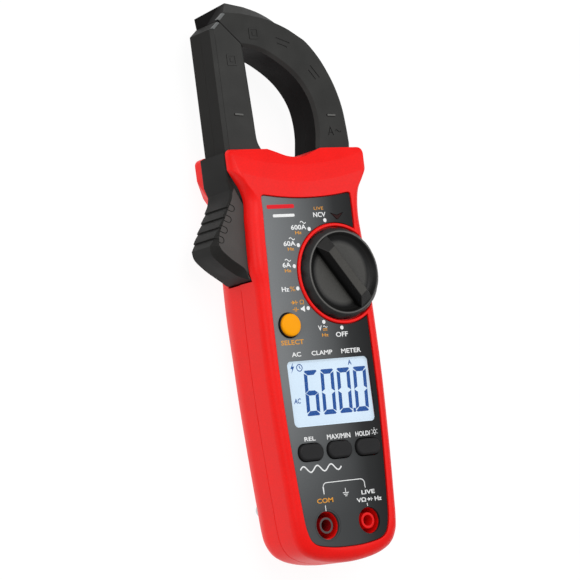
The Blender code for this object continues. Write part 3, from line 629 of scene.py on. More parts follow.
FINISH = {
    "case": plastic("case_red", (0.93, 0.0065, 0.0045), 0.38, spread=0.03, bump=0.08,
                    grain=1500, shine=0.2),
    "panel": face_finish_painted_reflection(),
    # Painted shade: the side tones of the jaws and the lever darken their walls; marks above
    # JAW_MARK_Z get a painted highlight.
    "jaw": plastic("jaw_grey", (0.042, 0.042, 0.0405), 0.55, side=(0.012, 0.0115, 0.0105),
                   spread=0.12, bump=0.2, shine=0.1, turn=(0.35, 0.65), painted_highlight_above=JAW_MARK_Z),
    "fixed_jaw": plastic("jaw_grey_bore", (0.04, 0.04, 0.0385), 0.55,
                         side=(0.002, 0.0015, 0.0015), spread=0.12, bump=0.2, shine=0.06,
                         turn=(0.35, 0.65), painted_highlight_above=JAW_MARK_Z),
    "lever": plastic("lever_rubber", (0.074, 0.069, 0.066), 0.55, side=(0.0165, 0.016, 0.015),
                     spread=0.1, bump=0.25, shine=0.15, turn=(0.78, 0.92), crease=True),
    # Light grey of the tip pads: a painted highlight on the chamfers at the jaw tips.
    "tip": plastic("tip_painted_highlight", (0.13, 0.135, 0.135), 0.45),
    "knob": knob_finish_painted_light(),
    "key": plastic("key_rubber", (0.018, 0.018, 0.019), 0.5, spread=0.15, bump=0.15,
                   shine=0.15),
    "select": button_finish_painted_shade(),
    "lens": plastic("lens_red", (0.02, 0.002, 0.002), 0.3, spread=0.2, bump=0.03,
                    shine=0.1),
    "live": plastic("sleeve_red", (0.85, 0.006, 0.006), 0.35, spread=0.04, shine=0.15),
    "com": plastic("sleeve_grey", (0.075, 0.068, 0.068), 0.45, side=(0.3, 0.003, 0.006)),
    "inner": plastic("inner_plastic", (0.6, 0.59, 0.55), 0.5),
    "rubber": plastic("mat_rubber", (0.3, 0.3, 0.31), 0.7),
    "chip": plastic("chip_black", (0.015, 0.015, 0.015), 0.45, grain=4000),
    "lead": plastic("lead_black", (0.02, 0.02, 0.02), 0.5),
    "light": plastic("light_guide", (0.85, 0.88, 0.92), 0.3),
    "thermistor": plastic("thermistor_orange", (0.7, 0.25, 0.03), 0.4),
    "white_ink": ink("ink_white", (0.86, 0.87, 0.87)),
    "orange_ink": ink("ink_orange", (0.74, 0.33, 0.045)),
    "red_ink": ink("ink_red", (0.75, 0.01, 0.02)),
    "blue_ink": ink("segment_blue", (0.02, 0.115, 0.45)),
    "display": display_finish(),
    "pane": pane_finish(),
    "steel": metal("steel_bright", (0.6, 0.6, 0.62), 0.3),
    "spring": metal("spring_steel", (0.45, 0.45, 0.47), 0.3, (1, 1, 1)),
    "brass": metal("contact_brass", (0.78, 0.56, 0.22), 0.3),
    "core": layered("core_laminations", (0.12, 0.12, 0.13), (0.5, 0.5, 0.52), "Z", 0.0005,
                    0.35, 1.0),
    "copper": layered("copper_turns", (0.25, 0.07, 0.02), (0.8, 0.33, 0.14), "X", 0.0004,
                      0.3, 1.0),
    "zebra": layered("zebra_bands", (0.02, 0.02, 0.02), (0.3, 0.3, 0.3), "X", 0.0005, 0.7),
    "cell": layered("cell_jacket", (0.02, 0.03, 0.045), (0.06, 0.09, 0.13), "Y", 0.012, 0.3),
    "board": board_finish(),
}
INSIDE = {                    # the CAD nodes that keep their shape, under their finish
    "core": ["moving_core", "fixed_core"],
    "inner": ["coil_bobbin", "lcd_frame", "switch_rotor"],
    "copper": ["coil_winding"],
    "lead": ["coil_lead"],
    "steel": ["jaw_pivot_pin", "detent_ball_1", "detent_ball_2", "battery_link_plate",
              "battery_end_plate"],
    "spring": ["jaw_return_spring", "detent_spring_1", "detent_spring_2", "battery_spring_1",
               "battery_spring_2"],
    "board": ["circuit_board"],
    "chip": ["measuring_chip", "buzzer"],
    "thermistor": ["input_thermistor"],
    "lens": ["ncv_led"],
    "light": ["lcd_backlight"],
    "zebra": ["zebra_strip"],
    "brass": ["rotor_wipers", "com_contact", "live_contact"],
    "rubber": ["keypad_membrane", "select_switch"],
    "cell": ["battery_1", "battery_2"],
}
for finish, nodes in INSIDE.items():
    for node in nodes:
        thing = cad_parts[node]
        thing.data.materials.clear()
        thing.data.materials.append(FINISH[finish])


# ------------------------------------------------------------------------------- case
def smoothstep(value, low, high):
    t = min(max((value - low) / (high - low), 0.0), 1.0)
    return t * t * (3 - 2 * t)


def case_outline():
    dip = spline(CASE_TOP_DIP, 6, start=(-4.5, 45.3))
    corner = arc((29.0, 45.9), 2.1, 90, 0, 6)
    flank = [(31.05, 40.6), (30.9, 40.05), (30.55, 39.4)]
    side = spline(CASE_SIDE, 6, end=(-11.4, -105.6))
    return mirrored(dip + corner + flank + side)


def case_loop(distance, z, head=None):
    """The case drawn in by a distance, or on its back by another at its head, at height z.

    The back is rounded less deeply at its waist."""
    out = []
    for x, y in case_outline():
        width = BODY_HALF + (HEAD_HALF - BODY_HALF) * smoothstep(y, 28, 39)
        drop = smoothstep(y, 22, 42) - smoothstep(-y, 80, 104)
        reach = distance
        if head is not None:
            reach *= 1 - 0.2 * smoothstep(y, -85, -25) - 0.2 * smoothstep(y, -35, -8)
            reach += (head - reach) * smoothstep(y, 22, 36)
        elif x < -20:
            x -= LEVER_COVER * smoothstep(y, -4, 4) * (1 - smoothstep(y, 20, 30))
        out.append((x * (1 - reach / width), y - reach * drop, z))
    return out


def head_chamfer(z):
    """How far the back of the head is drawn in: a slope up to a slightly rounded edge."""
    rise = HEAD_EDGE_Z - z
    return (rise + math.sqrt(rise * rise + 0.1)) / 2


def back_levels(radius, steps, wall=0.0):
    """Levels of the rounded back, down from where its round starts."""
    heights = {z for _, z in quarter(radius, BACK_ROUND, steps, rising=False)}
    heights |= {HEAD_EDGE_Z + rise for rise in (-0.6, -0.25, 0.0, 0.25, 0.6)}
    levels = []
    for z in sorted(heights, reverse=True):
        round_in = radius - math.sqrt(max(radius ** 2 - (BACK_ROUND - z) ** 2, 0))
        levels.append((wall + round_in, z, wall + head_chamfer(z - wall / 2)))
    return levels


def case_solid(levels):
    return loft([case_loop(*level) for level in levels])


def head_ramp():
    """Cutter that slopes the front of the head down towards the jaws, in a shallow bow."""
    profile = [(-0.6, 0.13), (0, 0), (0.8, -0.1), (7.0, -1.5), (7.8, -1.75), (16.0, -5.2)]
    columns = [-36 + 3 * i for i in range(25)]
    rows = [(lambda x, s=s: 34.1 + 0.0052 * x * x + s, FACE_Z + z) for s, z in profile]
    rows += [(lambda x: 60.0, FACE_Z - 5.2), (lambda x: 60.0, FACE_Z + 6),
             (lambda x: 33.5 + 0.0052 * x * x, FACE_Z + 6)]
    points = [(x, y(x), z) for y, z in rows for x in columns]
    count = len(columns)
    faces = [[r * count for r in range(len(rows))],
             [r * count + count - 1 for r in range(len(rows))]]
    for r in range(len(rows)):
        a, b = r * count, (r + 1) % len(rows) * count
        faces += [[a + i, a + i + 1, b + i + 1, b + i] for i in range(count - 1)]
    return build(points, faces)


def jaw_slots(low, high):
    sweep = arc(PIVOT, LEVER_SWEEP, -122, -93.5, 12)
    left = [(-45, sweep[0][1])] + sweep + [(-21.5, 20), (-13, 20), (-13, 40), (-12.1, 41.5),
                                           (-12.1, 60), (-45, 60)]
    return group(prism(left, low, high), box((10.6, 28.3), (43, 60), (low, high)))


def panel_outline(grow=0.0):
    top = [(x, 28.4 + 0.0042 * x * x) for x in (0, 3.5, 7, 10.5, 13.5, 16.5, 18.9)]
    corner = [(19.5, 29.9), (19.95, 29.7), (20.2, 29.3), (20.25, 28.8)]
    side = [(20.25, 24), (20.3, 20)] + spline(
        [(20.3, 14), (20.5, 7), (21.4, -14), (21.55, -40), (21.15, -56), (20.2, -74),
         (19.5, -84), (18.5, -93.5), (15.8, -98.7), (8.5, -100.6), (0, -101.05)], 6,
        end=(-8.5, -100.6))
    whole = inset(mirrored(top + corner + side), -grow)
    return [(x - 0.55 * (1 - smoothstep(y, 12, 24)), y) for x, y in whole]


def key_outline(x, grow=0.0):
    return rounded_box((x, KEY_Y), [s + 2 * grow for s in KEY_SIZE], 2.8 + grow, 8)


def ncv_outline(grow=0.0):
    x, y = NCV
    return inset([(x - 2.7, y + 1.1), (x, y + 0.25), (x + 2.7, y + 1.1), (x + 0.3, y - 1.2),
                  (x - 0.3, y - 1.2)], -grow)


JACKS = {"com": (-JACK_SPACING / 2, JACK_Y), "live": (JACK_SPACING / 2, JACK_Y)}
COVER_CENTRE = tuple(sum(span) / 2 for span in COVER)
COVER_SPAN = tuple(span[1] - span[0] for span in COVER)


def make_front_case():
    levels = [(0.15, PARTING_Z + SEAM / 2), (0, PARTING_Z + SEAM / 2 + 0.15)]
    case = case_solid(levels + quarter(FRONT_ROUND, FACE_Z - FRONT_ROUND, 10))
    cavity = case_solid([(WALL, PARTING_Z - 1), (WALL, WALL_TOP_Z - 1.4),
                         (WALL + 1.2, WALL_TOP_Z)])
    collars = group(*[cylinder(p, JACK_R + 1.3, PARTING_Z - 8.5, 28) for p in JACKS.values()])
    bores = group(*[lathe(p, [(0, 5), (3.4, 5), (3.4, 10.7), (JACK_R, 10.7), (JACK_R, 40),
                              (0, 40)]) for p in JACKS.values()])
    recess = well(panel_outline(0.25), RECESS_Z, FACE_Z, 0.3, 40)
    ring = [(0, 20), (RING_R, 20), (RING_R, 30.4), (18.93, 30.68), (18.72, 30.85),
            (18.45, 30.92), (18.45, 50), (0, 50)]
    carve(recess, lathe(KNOB, ring, 96))
    dish = [(0, 20), (5.3, 20), (5.3, RECESS_Z), (KNOB_RECESS_R, RECESS_Z), (KNOB_RECESS_R, 30.45),
            (17.83, 30.7), (18.02, 30.85), (18.25, 30.92), (18.25, 40), (0, 40)]
    holes = group(prism(rounded_box(LCD, (39.2, 27.0), 1.0), 20, 40),
                  cylinder(SELECT, SELECT_R + 0.8, 20, 40),
                  cylinder(NCV, 2.2, 20, 40), cylinder(PIVOT, 2.3, 16, 28.2),
                  *[prism(key_outline(x, 0.8), 20, 40) for x in KEYS.values()])
    carve(case, cavity, head_ramp())
    join(case, collars)
    carve(case, bores, recess, lathe(KNOB, dish, 96), holes,
          cylinder(KNOB, 14.5, PARTING_Z - 1, WALL_TOP_Z - 0.2), jaw_slots(0, SLOT_Z[1]))
    settle(case, "front_shell", "meter", "case_red", FINISH["case"], "front_case")


def make_rear_case():
    top = PARTING_Z - SEAM / 2
    case = case_solid([(0.15, top, 0.15), (0, top - 0.15, 0)] + back_levels(BACK_ROUND, 14))
    cavity = case_solid([(WALL, top + 1, WALL)] + back_levels(BACK_ROUND - WALL, 8, WALL))
    carve(cavity, box((-14.4, 14.4), (-84.5, -22.5), (-5, 14.6)),
          cylinder(PIVOT, 3.6, -5, SLOT_Z[0]),
          group(*[cylinder(p, 3.6, -5, 40) for p in SCREWS]))
    carve(case, cavity)
    heads = group(*[lathe(p, [(0, -5), (3.25, -5), (3.25, 0), (2.98, 0.1), (2.9, 0.35),
                              (2.9, 4.5), (1.65, 4.5), (1.65, 30), (0, 30)], 32)
                    for p in SCREWS])
    lid = rounded_box(COVER_CENTRE, [s + 0.6 for s in COVER_SPAN], 2.3)
    mouth = loft([at(inset(lid, -0.3), -5), at(inset(lid, -0.3), -0.02),
                  at(inset(lid, -0.08), 0.08), at(lid, 0.3), at(lid, 2.1)])
    carve(case, heads, box((-11.9, 11.9), (-82.0, -31.0), (-5, 13.1)), mouth,
          group(cylinder(COVER_SCREW, 1.5, 0, 12, 24), cylinder(PIVOT, 2.3, 2.6, 30, 24)),
          jaw_slots(SLOT_Z[0], 40))
    settle(case, "rear_shell", "meter", "case_red", FINISH["case"], "rear_case")


def make_battery_door():
    """The door, with a row of finger ribs at its lower end."""
    outline = rounded_box(COVER_CENTRE, COVER_SPAN, 2.0)
    door = prism(outline, 0, 1.8, bottom=0.3)
    head = lathe(COVER_SCREW, [(0, -5), (3.1, -5), (3.1, 0), (2.87, 0.08), (2.8, 0.3),
                               (2.8, 0.9), (1.6, 0.9), (1.6, 5), (0, 5)], 32)
    ribs = [prism(rounded_box((0, -79.5 + 2.0 * i), (14 - 1.6 * i, 0.9), 0.44, 4), -1, 0.5)
            for i in range(5)]
    carve(door, head, group(*ribs))
    settle(door, "battery_door", "battery_door", "case_red", FINISH["case"], "battery_cover")


def make_screw(name, body, place, head, shank, low, neck, high, *nodes):
    """A pan-head screw with a cross recess, its head facing the back."""
    edge = 0.25
    form = lathe(place, [(0, low), (head - 0.55, low), (head - 0.15, low + 0.1),
                         (head, low + edge + 0.1), (head, neck), (shank, neck),
                         (shank, high - 1), (shank * 0.5, high), (0, high)], 32)
    slots = []
    for turn in (35, 125):
        spin = Matrix.Rotation(math.radians(turn), 2)
        reach, half = head * 0.62, head * 0.13
        corners = [(reach, -half), (reach, half), (-reach, half), (-reach, -half)]
        outline = [tuple(spin @ Vector(c) + Vector(place)) for c in corners]
        slots.append(loft([at(outline, low - 1), at(outline, low + 0.05),
                           at(inset(outline, half * 0.6), low + (neck - low) * 0.6)]))
    carve(form, *slots)
    settle(form, name, body, "spring_steel", FINISH["steel"], *nodes)


# ------------------------------------------------------------------------------- jaws
def mate_points(shift):
    start, end = Vector(MATE_IN), Vector(MATE_OUT)
    along = (end - start).normalized()
    across = Vector((along.y, -along.x)) * shift
    return start + across, end + across, along


def moving_outline():
    inner, outer, _ = mate_points(-0.15)
    root = arc(PIVOT, ROOT_R, 0, -160, 24)
    throat = spline([(-15.2, 60), (-15.0, 53), (-14.5, 50.3), (-13.5, 48.3), (-12.6, 46.5)], 5)
    return ([tuple(inner)] + throat + [(-12.6, 43), (-13.4, 40), (-13.4, 37)] + root
            + [(-29.8, 37.4), (-29.8, 65), (-29.8, 93.6), tuple(outer)])


def fixed_outline(crown, corner):
    inner, outer, _ = mate_points(0.15)
    inside = spline([tuple(inner), (-12.6, 86.5), (-8.2, 85.2), (-3.0, 82.5), (3.4, 77.9),
                     (8.0, 72.8), (11.1, 67), (12.4, 61), (12.5, 55), (11.8, 50),
                     (11.2, 46.5)], 6)
    root = [(11.2, 28.6), (22.0, 28.6), (23.8, 33), (26.0, 38.5)]
    side = spline([(27.5, 50), (27.2, 56.2), (26.4, 63.9), (24.4, 71.3), (21.5, 77.8),
                   (17.4, 83.9), (11.9, 89.6)], 6, end=crown[0])
    return inside + root + side + spline(crown, 6, start=(11.9, 89.6)) + [corner, tuple(outer)]


SIDE_EDGES, CROWN_EDGES = 80, 106   # edges of the fixed jaw's outline, up to its two corners


def fixed_levels():
    back = fixed_outline([(5.8, 93.8), (-1.6, 97.3), (-7.8, 99.4), (-16, 101.0)], (-26.5, 100.7))
    ridge = fixed_outline([(7.3, 94.5), (2.6, 98.3), (-3.4, 101.4), (-10, 103.5)], (-18.1, 104.9))
    face = fixed_outline([(5.7, 93.4), (-2.0, 96.6), (-6.8, 98.0), (-15.5, 99.5)], (-23.4, 99.9))
    return back, ridge, face


def rim_inset(outline, full, least):
    """Inset the fixed jaw's face: full at its bore and side, least on its crown."""
    each = [full + (least - full) * smoothstep(i, SIDE_EDGES, CROWN_EDGES)
            for i in range(len(outline) - 1)]
    return inset(outline, each + [0.0])


def mating_inset(outline, distance):
    """Inset all round but for the last edge, which is where the jaws meet."""
    return inset(outline, [distance] * (len(outline) - 1) + [0.0]) if distance else outline


def moving_core_outline():
    inner, _, along = mate_points(-0.3)
    near, far = inner + along * 2.6, inner + along * 10.2
    return [tuple(near), (-19.0, 84.5), (-19.0, 46.0), (-13.6, 40.0), (-13.6, 34.6),
            (-16.6, 35.4), (-20.5, 37.0), (-27.0, 37.6), (-27.0, 92.6), tuple(far)]


def fixed_core_outline():
    inner, _, along = mate_points(0.3)
    near, far = inner + along * 2.6, inner + along * 9.6
    inside = spline([(-10, 89.0), (-1.2, 85.2), (5.4, 80.0), (10.4, 74.2), (14.2, 67.4),
                     (15.6, 60), (15.6, 50)], 2)
    outside = spline([(23.9, 50), (23.2, 62), (20.6, 71.0), (15.2, 80.0), (8.4, 87.0),
                      (-1.4, 92.8), (-12, 96.2)], 2)
    yoke = [(15.6, 39.8), (-12.7, 39.8), (-12.7, 34.2), (20.4, 34.2), (23.9, 39.0)]
    return [tuple(near)] + inside + yoke + outside + [tuple(far)]


def core_room(outline):
    return prism(inset(outline, -GAP), CORE_Z[0] - 0.4, CORE_Z[1] + 0.4)


def turned_box(centre, size, angle, low, high, radius=0.2, top=0.1):
    """A small raised block at an angle in the plane of the face."""
    spin = Matrix.Rotation(math.radians(angle), 2)
    outline = [tuple(spin @ Vector(p) + Vector(centre))
               for p in rounded_box((0, 0), size, radius, 3)]
    return prism(outline, low, high, top=top, steps=2)


def square_mark(target, centre, surface):
    """A raised square with a sunk square and a raised dot inside it."""
    size = 4.3
    join(target, turned_box(centre, (size, size), 0, surface - 0.3, surface + 0.22, 0.3, 0.12))
    ring = turned_box(centre, (2.9, 2.9), 0, surface + 0.02, surface + 1, 0.2, 0)
    carve(ring, turned_box(centre, (1.5, 1.5), 0, surface - 1, surface + 2, 0.2, 0))
    carve(target, ring)


def bar_marks(centre, turn, lengths, surface):
    """Cutters for short engraved bars, one above the other."""
    spin = Matrix.Rotation(math.radians(turn), 2)
    bars = []
    for row, length in enumerate(lengths):
        place = Vector(centre) + spin @ Vector((0, 0.95 - 1.9 * row))
        bars.append(turned_box(place, (length, 0.55), turn, surface - 0.25, surface + 1, 0.2, 0))
    return group(*bars)


def current_mark(centre, surface):
    """Cutters for a letter A and a wave, the sign for alternating current."""
    x, y = centre
    low, high = surface - 0.3, surface + 1
    strokes = [ribbon([(x - 2.9, y - 1.6), (x - 1.7, y + 1.6), (x - 0.5, y - 1.6)], 0.38,
                      low, high),
               ribbon([(x - 2.3, y - 0.5), (x - 1.1, y - 0.5)], 0.34, low, high)]
    wave = [(x + 0.5 + 2.6 * i / 16, y + 0.42 * math.sin(math.pi * i / 8)) for i in range(17)]
    return strokes + [ribbon(wave, 0.38, low, high)]


def make_jaws():
    low, high = JAW_Z
    middle = (low + high) / 2
    bevel = [(0, high - 1.25), (1.13, high - 0.12), (1.4, high)]
    outline = moving_outline()
    front = loft([at(outline, middle + SEAM / 4)]
                 + [at(mating_inset(outline, d), z) for d, z in bevel])
    edge_line = ribbon([(-28.55, 44.0), (-28.55, 91.5)], 0.22, high - 0.12, high + 1)
    rear = loft([at(mating_inset(outline, 1.3), low), at(mating_inset(outline, 1.1), low + 0.1),
                 at(outline, low + 1.2), at(outline, middle - SEAM / 4)])
    for half, name, node in ((front, "moving_shell_front", "moving_jaw_front"),
                             (rear, "moving_shell_rear", "moving_jaw_rear")):
        carve(half, core_room(moving_core_outline()), cylinder(PIVOT, 2.3, 0, 40, 24))
        if half is front:
            carve(half, edge_line)
            square_mark(half, (-22.4, 81.8), high)
            join(half, turned_box((-22.4, 61.2), (4.1, 0.95), -5, high - 0.3, high + 0.45,
                                  0.45, 0.35))
        settle(half, name, "jaw_lever", "jaw_grey", FINISH["jaw"], node, angle=30)

    back, ridge, face = fixed_levels()
    mixed = [mix(a, b, 0.18) for a, b in zip(ridge, back)]
    inner = [mix(a, b, 0.84) for a, b in zip(ridge, face)]
    front = loft([at(mixed, middle + SEAM / 4), at(ridge, 20.0), at(inner, high - 1.25),
                  at(rim_inset(face, 1.13, 0.0), high - 0.12),
                  at(rim_inset(face, 1.35, 0.2), high)])
    rear = loft([at(mating_inset(back, 0.9), low), at(mating_inset(back, 0.7), low + 0.1),
                 at(back, low + 0.8), at(mixed, middle - SEAM / 4)])
    for half, name, node in ((front, "fixed_shell_front", "fixed_jaw_front"),
                             (rear, "fixed_shell_rear", "fixed_jaw_rear")):
        carve(half, core_room(fixed_core_outline()))
        if half is front:
            square_mark(half, (-11.0, 91.9), high)
            join(half, turned_box((19.8, 60.55), (4.1, 0.95), -2, high - 0.3, high + 0.45,
                                  0.45, 0.35))
            carve(half, bar_marks((1.5, 88.4), -19, (6.4, 4.6), high),
                  bar_marks((14.1, 76.8), -52, (6.0, 4.6), high),
                  *current_mark((20.3, 54.4), high))
        settle(half, name, "meter", "jaw_grey", FINISH["fixed_jaw"], node, angle=30)

    # Light grey pads on the chamfers at both jaw tips: a painted highlight.
    highlight_pads = {"jaw_lever": [(-29.5, 93.8), (-26.6, 96.2), (-25.7, 95.8), (-28.5, 93.3)],
            "meter": [(-26.7, 97.1), (-23.8, 99.6), (-22.8, 99.2), (-25.4, 96.8)]}
    for body, outline in highlight_pads.items():
        pad = prism(outline, high - 1.4, high + 0.12, top=0.15)
        settle(pad, f"tip_highlight_pad_{body}", body, "jaw_grey", FINISH["tip"])


# -------------------------------------------------------------------------------- lever
LEVER_OUTER = [(-30.3, 33.2), (-31.0, 30.2), (-33.1, 26.6), (-35.9, 21.9), (-38.8, 17.2),
               (-40.9, 13.0)]
LEVER_NOSE = [(-40.9, 13.0), (-40.1, 9.6), (-36.0, 5.6), (-31.8, 2.6), (-28.8, 0.6),
              (-26.2, -0.7), (-24.4, -0.1), (-23.4, 2.6)]
RIB_TOPS = (27.0, 23.3, 19.6, 15.8)   # where each grip rib starts, down the lever
RIB_FOOT = 12.2                       # where the last one has swollen back to full width
RIB_DEPTH = 0.55
RIB_TIPS = [(-29.8, 25.7), (-31.8, 21.7), (-34.1, 17.8), (-36.1, 14.2)]


def rib_depth(y):
    """How far the lever's side stands back: each rib swells from its top to the next."""
    for top, foot in zip(RIB_TOPS, RIB_TOPS[1:] + (RIB_FOOT,)):
        if foot < y <= top:
            return RIB_DEPTH * ((y - foot) / (top - foot)) ** 1.6
    return 0.0


def lever_side():
    """The lever's outer side, with points on both sides of every rib's step."""
    curve = spline(LEVER_OUTER, 12)
    heights = {y for _, y in curve} | {top + step for top in RIB_TOPS for step in (0.12, 0.0)}
    side = []
    for y in sorted(heights, reverse=True):
        for a, b in zip(curve, curve[1:]):
            if b[1] <= y <= a[1]:
                side.append(mix(a, b, (a[1] - y) / (a[1] - b[1])))
                break
    return side


def rib_loop(tip, half, tail, low, high):
    """A bar that lies across the lever's edge, with a round end at the tip."""
    across, back = Vector((0.425, 0.905)), Vector((-0.905, 0.425))
    reach = [Vector(tip) + back * (1.25 + x) + across * y
             for x, y in arc((0, 0), half, 270, 90, 12)]
    ends = [reach[-1] + back * tail, reach[0] + back * tail]
    return prism([tuple(p) for p in reach + ends], low, high)


def make_lever():
    """The squeeze lever: stepped ribs down its side, each ending in a loop on its face.

    soft is how wide its upper edge is rounded: little at its head and under the case,
    and most round its nose."""
    low, high = JAW_Z
    grip = lever_side() + spline(LEVER_NOSE, 6)[1:]
    seat = arc(PIVOT, ROOT_R + GAP, 240, 202, 8)
    head = [(-31.5, 47.0), (-31.5, 40.0), (-31.5, 36.5)]
    inner = [(-22.6, 14.0), (-22.8, 24.4)] + seat + [(-30.1, 37.4), (-30.1, 47.0)]
    outline = head + grip + inner
    swell = [0.3 + (0.5 + 2.2 * (1 - smoothstep(y, 10, 20))) * (1 - smoothstep(x, -31, -26.8))
             for x, y in grip]
    soft = [0.3] * len(head) + swell + [0.3] * len(inner)
    inward = [Vector(a) - Vector(b) for a, b in zip(inset(outline, 1.0), outline)]
    sunk = [rib_depth(y) if x < -30 else 0.0 for x, y in outline]

    def ring(share, heights, depth):
        """One level: share of the rounding, and of the depth of the ribs."""
        edge = inset(outline, [s * share for s in soft])
        return [(x + n.x * d * depth, y + n.y * d * depth, z)
                for (x, y), n, d, z in zip(edge, inward, sunk, heights)]

    count = len(outline)
    rows = [ring(0.5, [low] * count, 1), ring(0.15, [low + 0.3] * count, 1),
            ring(0, [low + 1.0] * count, 1)]
    for i in range(7):
        rest = 1 - i / 6
        heights = [high - s * rest ** 1.15 for s in soft]
        rows.append(ring(1 - rest, heights, rest ** 0.5))
    body = loft(rows)
    for tip in RIB_TIPS:
        carve(body, carve(rib_loop(tip, 1.3, 2.6, high - 0.45, high + 1),
                          rib_loop(tip, 1.0, 5.0, high - 2, high + 2)))
    settle(body, "lever_body", "jaw_lever", "trigger_black", FINISH["lever"],
           "trigger_lever", angle=32)


# ------------------------------------------------------------------ face and controls
def make_panel():
    panel = prism(panel_outline(), *PANEL_Z, top=0.2, steps=2)
    surface = PANEL_Z[1]
    holes = [well(circle(KNOB, RING_R + GAP, 96), 20, surface, 0.12, 50),
             well(rounded_box((LCD[0] + 0.25, LCD[1]), WINDOW, 1.8), 20, surface, 0.12, 50),
             well(ncv_outline(0.1), 20, surface, 0.1, 50),
             well(circle(SELECT, SELECT_R + GAP), 20, surface, 0.15, 50)]
    holes += [well(key_outline(x, GAP), 20, surface, 0.15, 50) for x in KEYS.values()]
    holes += [well(circle(JACKS["com"], JACK_R + 0.3), 20, surface, 0.12, 50),
              well(circle(JACKS["live"], JACK_R), 20, surface, 0.12, 50)]
    carve(panel, group(*holes),
          lathe(JACKS["com"], [(5.65, surface - 0.12), (5.9, surface - 0.12),
                               (5.9, 50), (5.65, 50)]))
    settle(panel, "panel_plate", "meter", "panel_grey", FINISH["panel"], "face_panel")


class Print:
    """Ink shapes gathered into one piece, standing a hair above a surface."""

    def __init__(self, surface, thick=0.03):
        self.low, self.high = surface - 0.05, surface + thick
        self.parts = []

    def text(self, words, left, base, width, height, bold=0.02, lean=0.0):
        """Words set in the built-in font, stretched to a width and a height."""
        curve = bpy.data.curves.new("words", "FONT")
        curve.body = words
        curve.offset = bold
        curve.resolution_u = 3
        curve.extrude = 0.5
        curve.shear = lean
        thing = bpy.data.objects.new("words", curve)
        bpy.context.scene.collection.objects.link(thing)
        graph = bpy.context.evaluated_depsgraph_get()
        mesh = bpy.data.meshes.new_from_object(thing.evaluated_get(graph))
        bpy.data.objects.remove(thing)
        form = bmesh.new()
        form.from_mesh(mesh)
        bmesh.ops.remove_doubles(form, verts=form.verts, dist=1e-5)
        xs = [v.co.x for v in form.verts]
        ys = [v.co.y for v in form.verts]
        scale_x = width / (max(xs) - min(xs))
        scale_y = height / (max(ys) - min(ys))
        for v in form.verts:
            v.co = (left + (v.co.x - min(xs)) * scale_x, base + (v.co.y - min(ys)) * scale_y,
                    self.low if v.co.z < 0 else self.high)
        form.to_mesh(mesh)
        form.free()
        made = bpy.data.objects.new("words", mesh)
        bpy.context.scene.collection.objects.link(made)
        self.parts.append(made)

    def shape(self, outline):
        self.parts.append(prism(outline, self.low, self.high))

    def line(self, points, width, closed=False):
        self.parts.append(ribbon(points, width, self.low, self.high, closed))

    def dot(self, centre, radius):
        self.shape(circle(centre, radius, 28))

    def tilde(self, x, y, length=2.6, height=0.42, width=0.3, periods=1):
        steps = 16 * periods
        self.line([(x + length * (i / steps - 0.5),
                    y + height * math.sin(2 * math.pi * periods * i / steps))
                   for i in range(steps + 1)], width)

    def diode(self, x, y, size=1.0):
        self.shape([(x - 0.9 * size, y + 0.7 * size), (x - 0.9 * size, y - 0.7 * size),
                    (x + 0.25 * size, y)])
        self.line([(x + 0.5 * size, y + 0.75 * size), (x + 0.5 * size, y - 0.75 * size)],
                  0.28 * size)
        self.line([(x - 1.5 * size, y), (x - 1.0 * size, y)], 0.24 * size)
        self.line([(x + 0.68 * size, y), (x + 1.3 * size, y)], 0.24 * size)

    def capacitor(self, x, y):
        for side in (-1, 1):
            self.line([(x + 0.32 * side, y + 0.8), (x + 0.32 * side, y - 0.8)], 0.28)
            self.line([(x + 0.48 * side, y), (x + 1.4 * side, y)], 0.26)

    def settle(self, name, slot, finish):
        settle(group(*self.parts), name, "meter", slot, finish, flat=True)


# words, left, base, width, height and, where it isn't the usual one, weight
WHITE_LABELS = [
    ("NCV", 2.2, 21.1, 5.7, 1.85), ("Hz", -16.4, -6.1, 3.3, 1.8), ("V", -2.3, -21.3, 1.7, 1.9),
    ("OFF", 5.4, -24.1, 5.5, 1.85), ("AC", -15.75, -30.3, 4.2, 1.7),
    ("CLAMP", -6.8, -30.3, 9.5, 1.7), ("METER", 6.8, -30.3, 9.1, 1.7),
    ("REL", -15.05, -61.45, 5.0, 1.55), ("MAX/MIN", -4.8, -61.6, 10.7, 1.85),
    ("HOLD/", 8.3, -61.5, 6.9, 1.8), ("LIVE", 7.5, -83.0, 6.1, 1.55),
    ("VΩ", 4.9, -85.75, 4.3, 1.65), ("Hz", 13.2, -85.75, 3.2, 1.6)]
ORANGE_LABELS = [
    ("LIVE", 2.9, 23.85, 4.3, 1.15, 0.0), ("%", -12.7, -6.1, 2.3, 1.8, 0.0),
    ("Ω", -9.1, -11.1, 1.9, 1.7, 0.0), ("Hz", -0.9, -23.6, 2.9, 1.2),
    ("SELECT", -19.8, -25.8, 10.2, 1.8), ("COM", -13.0, -84.5, 7.3, 1.75)]


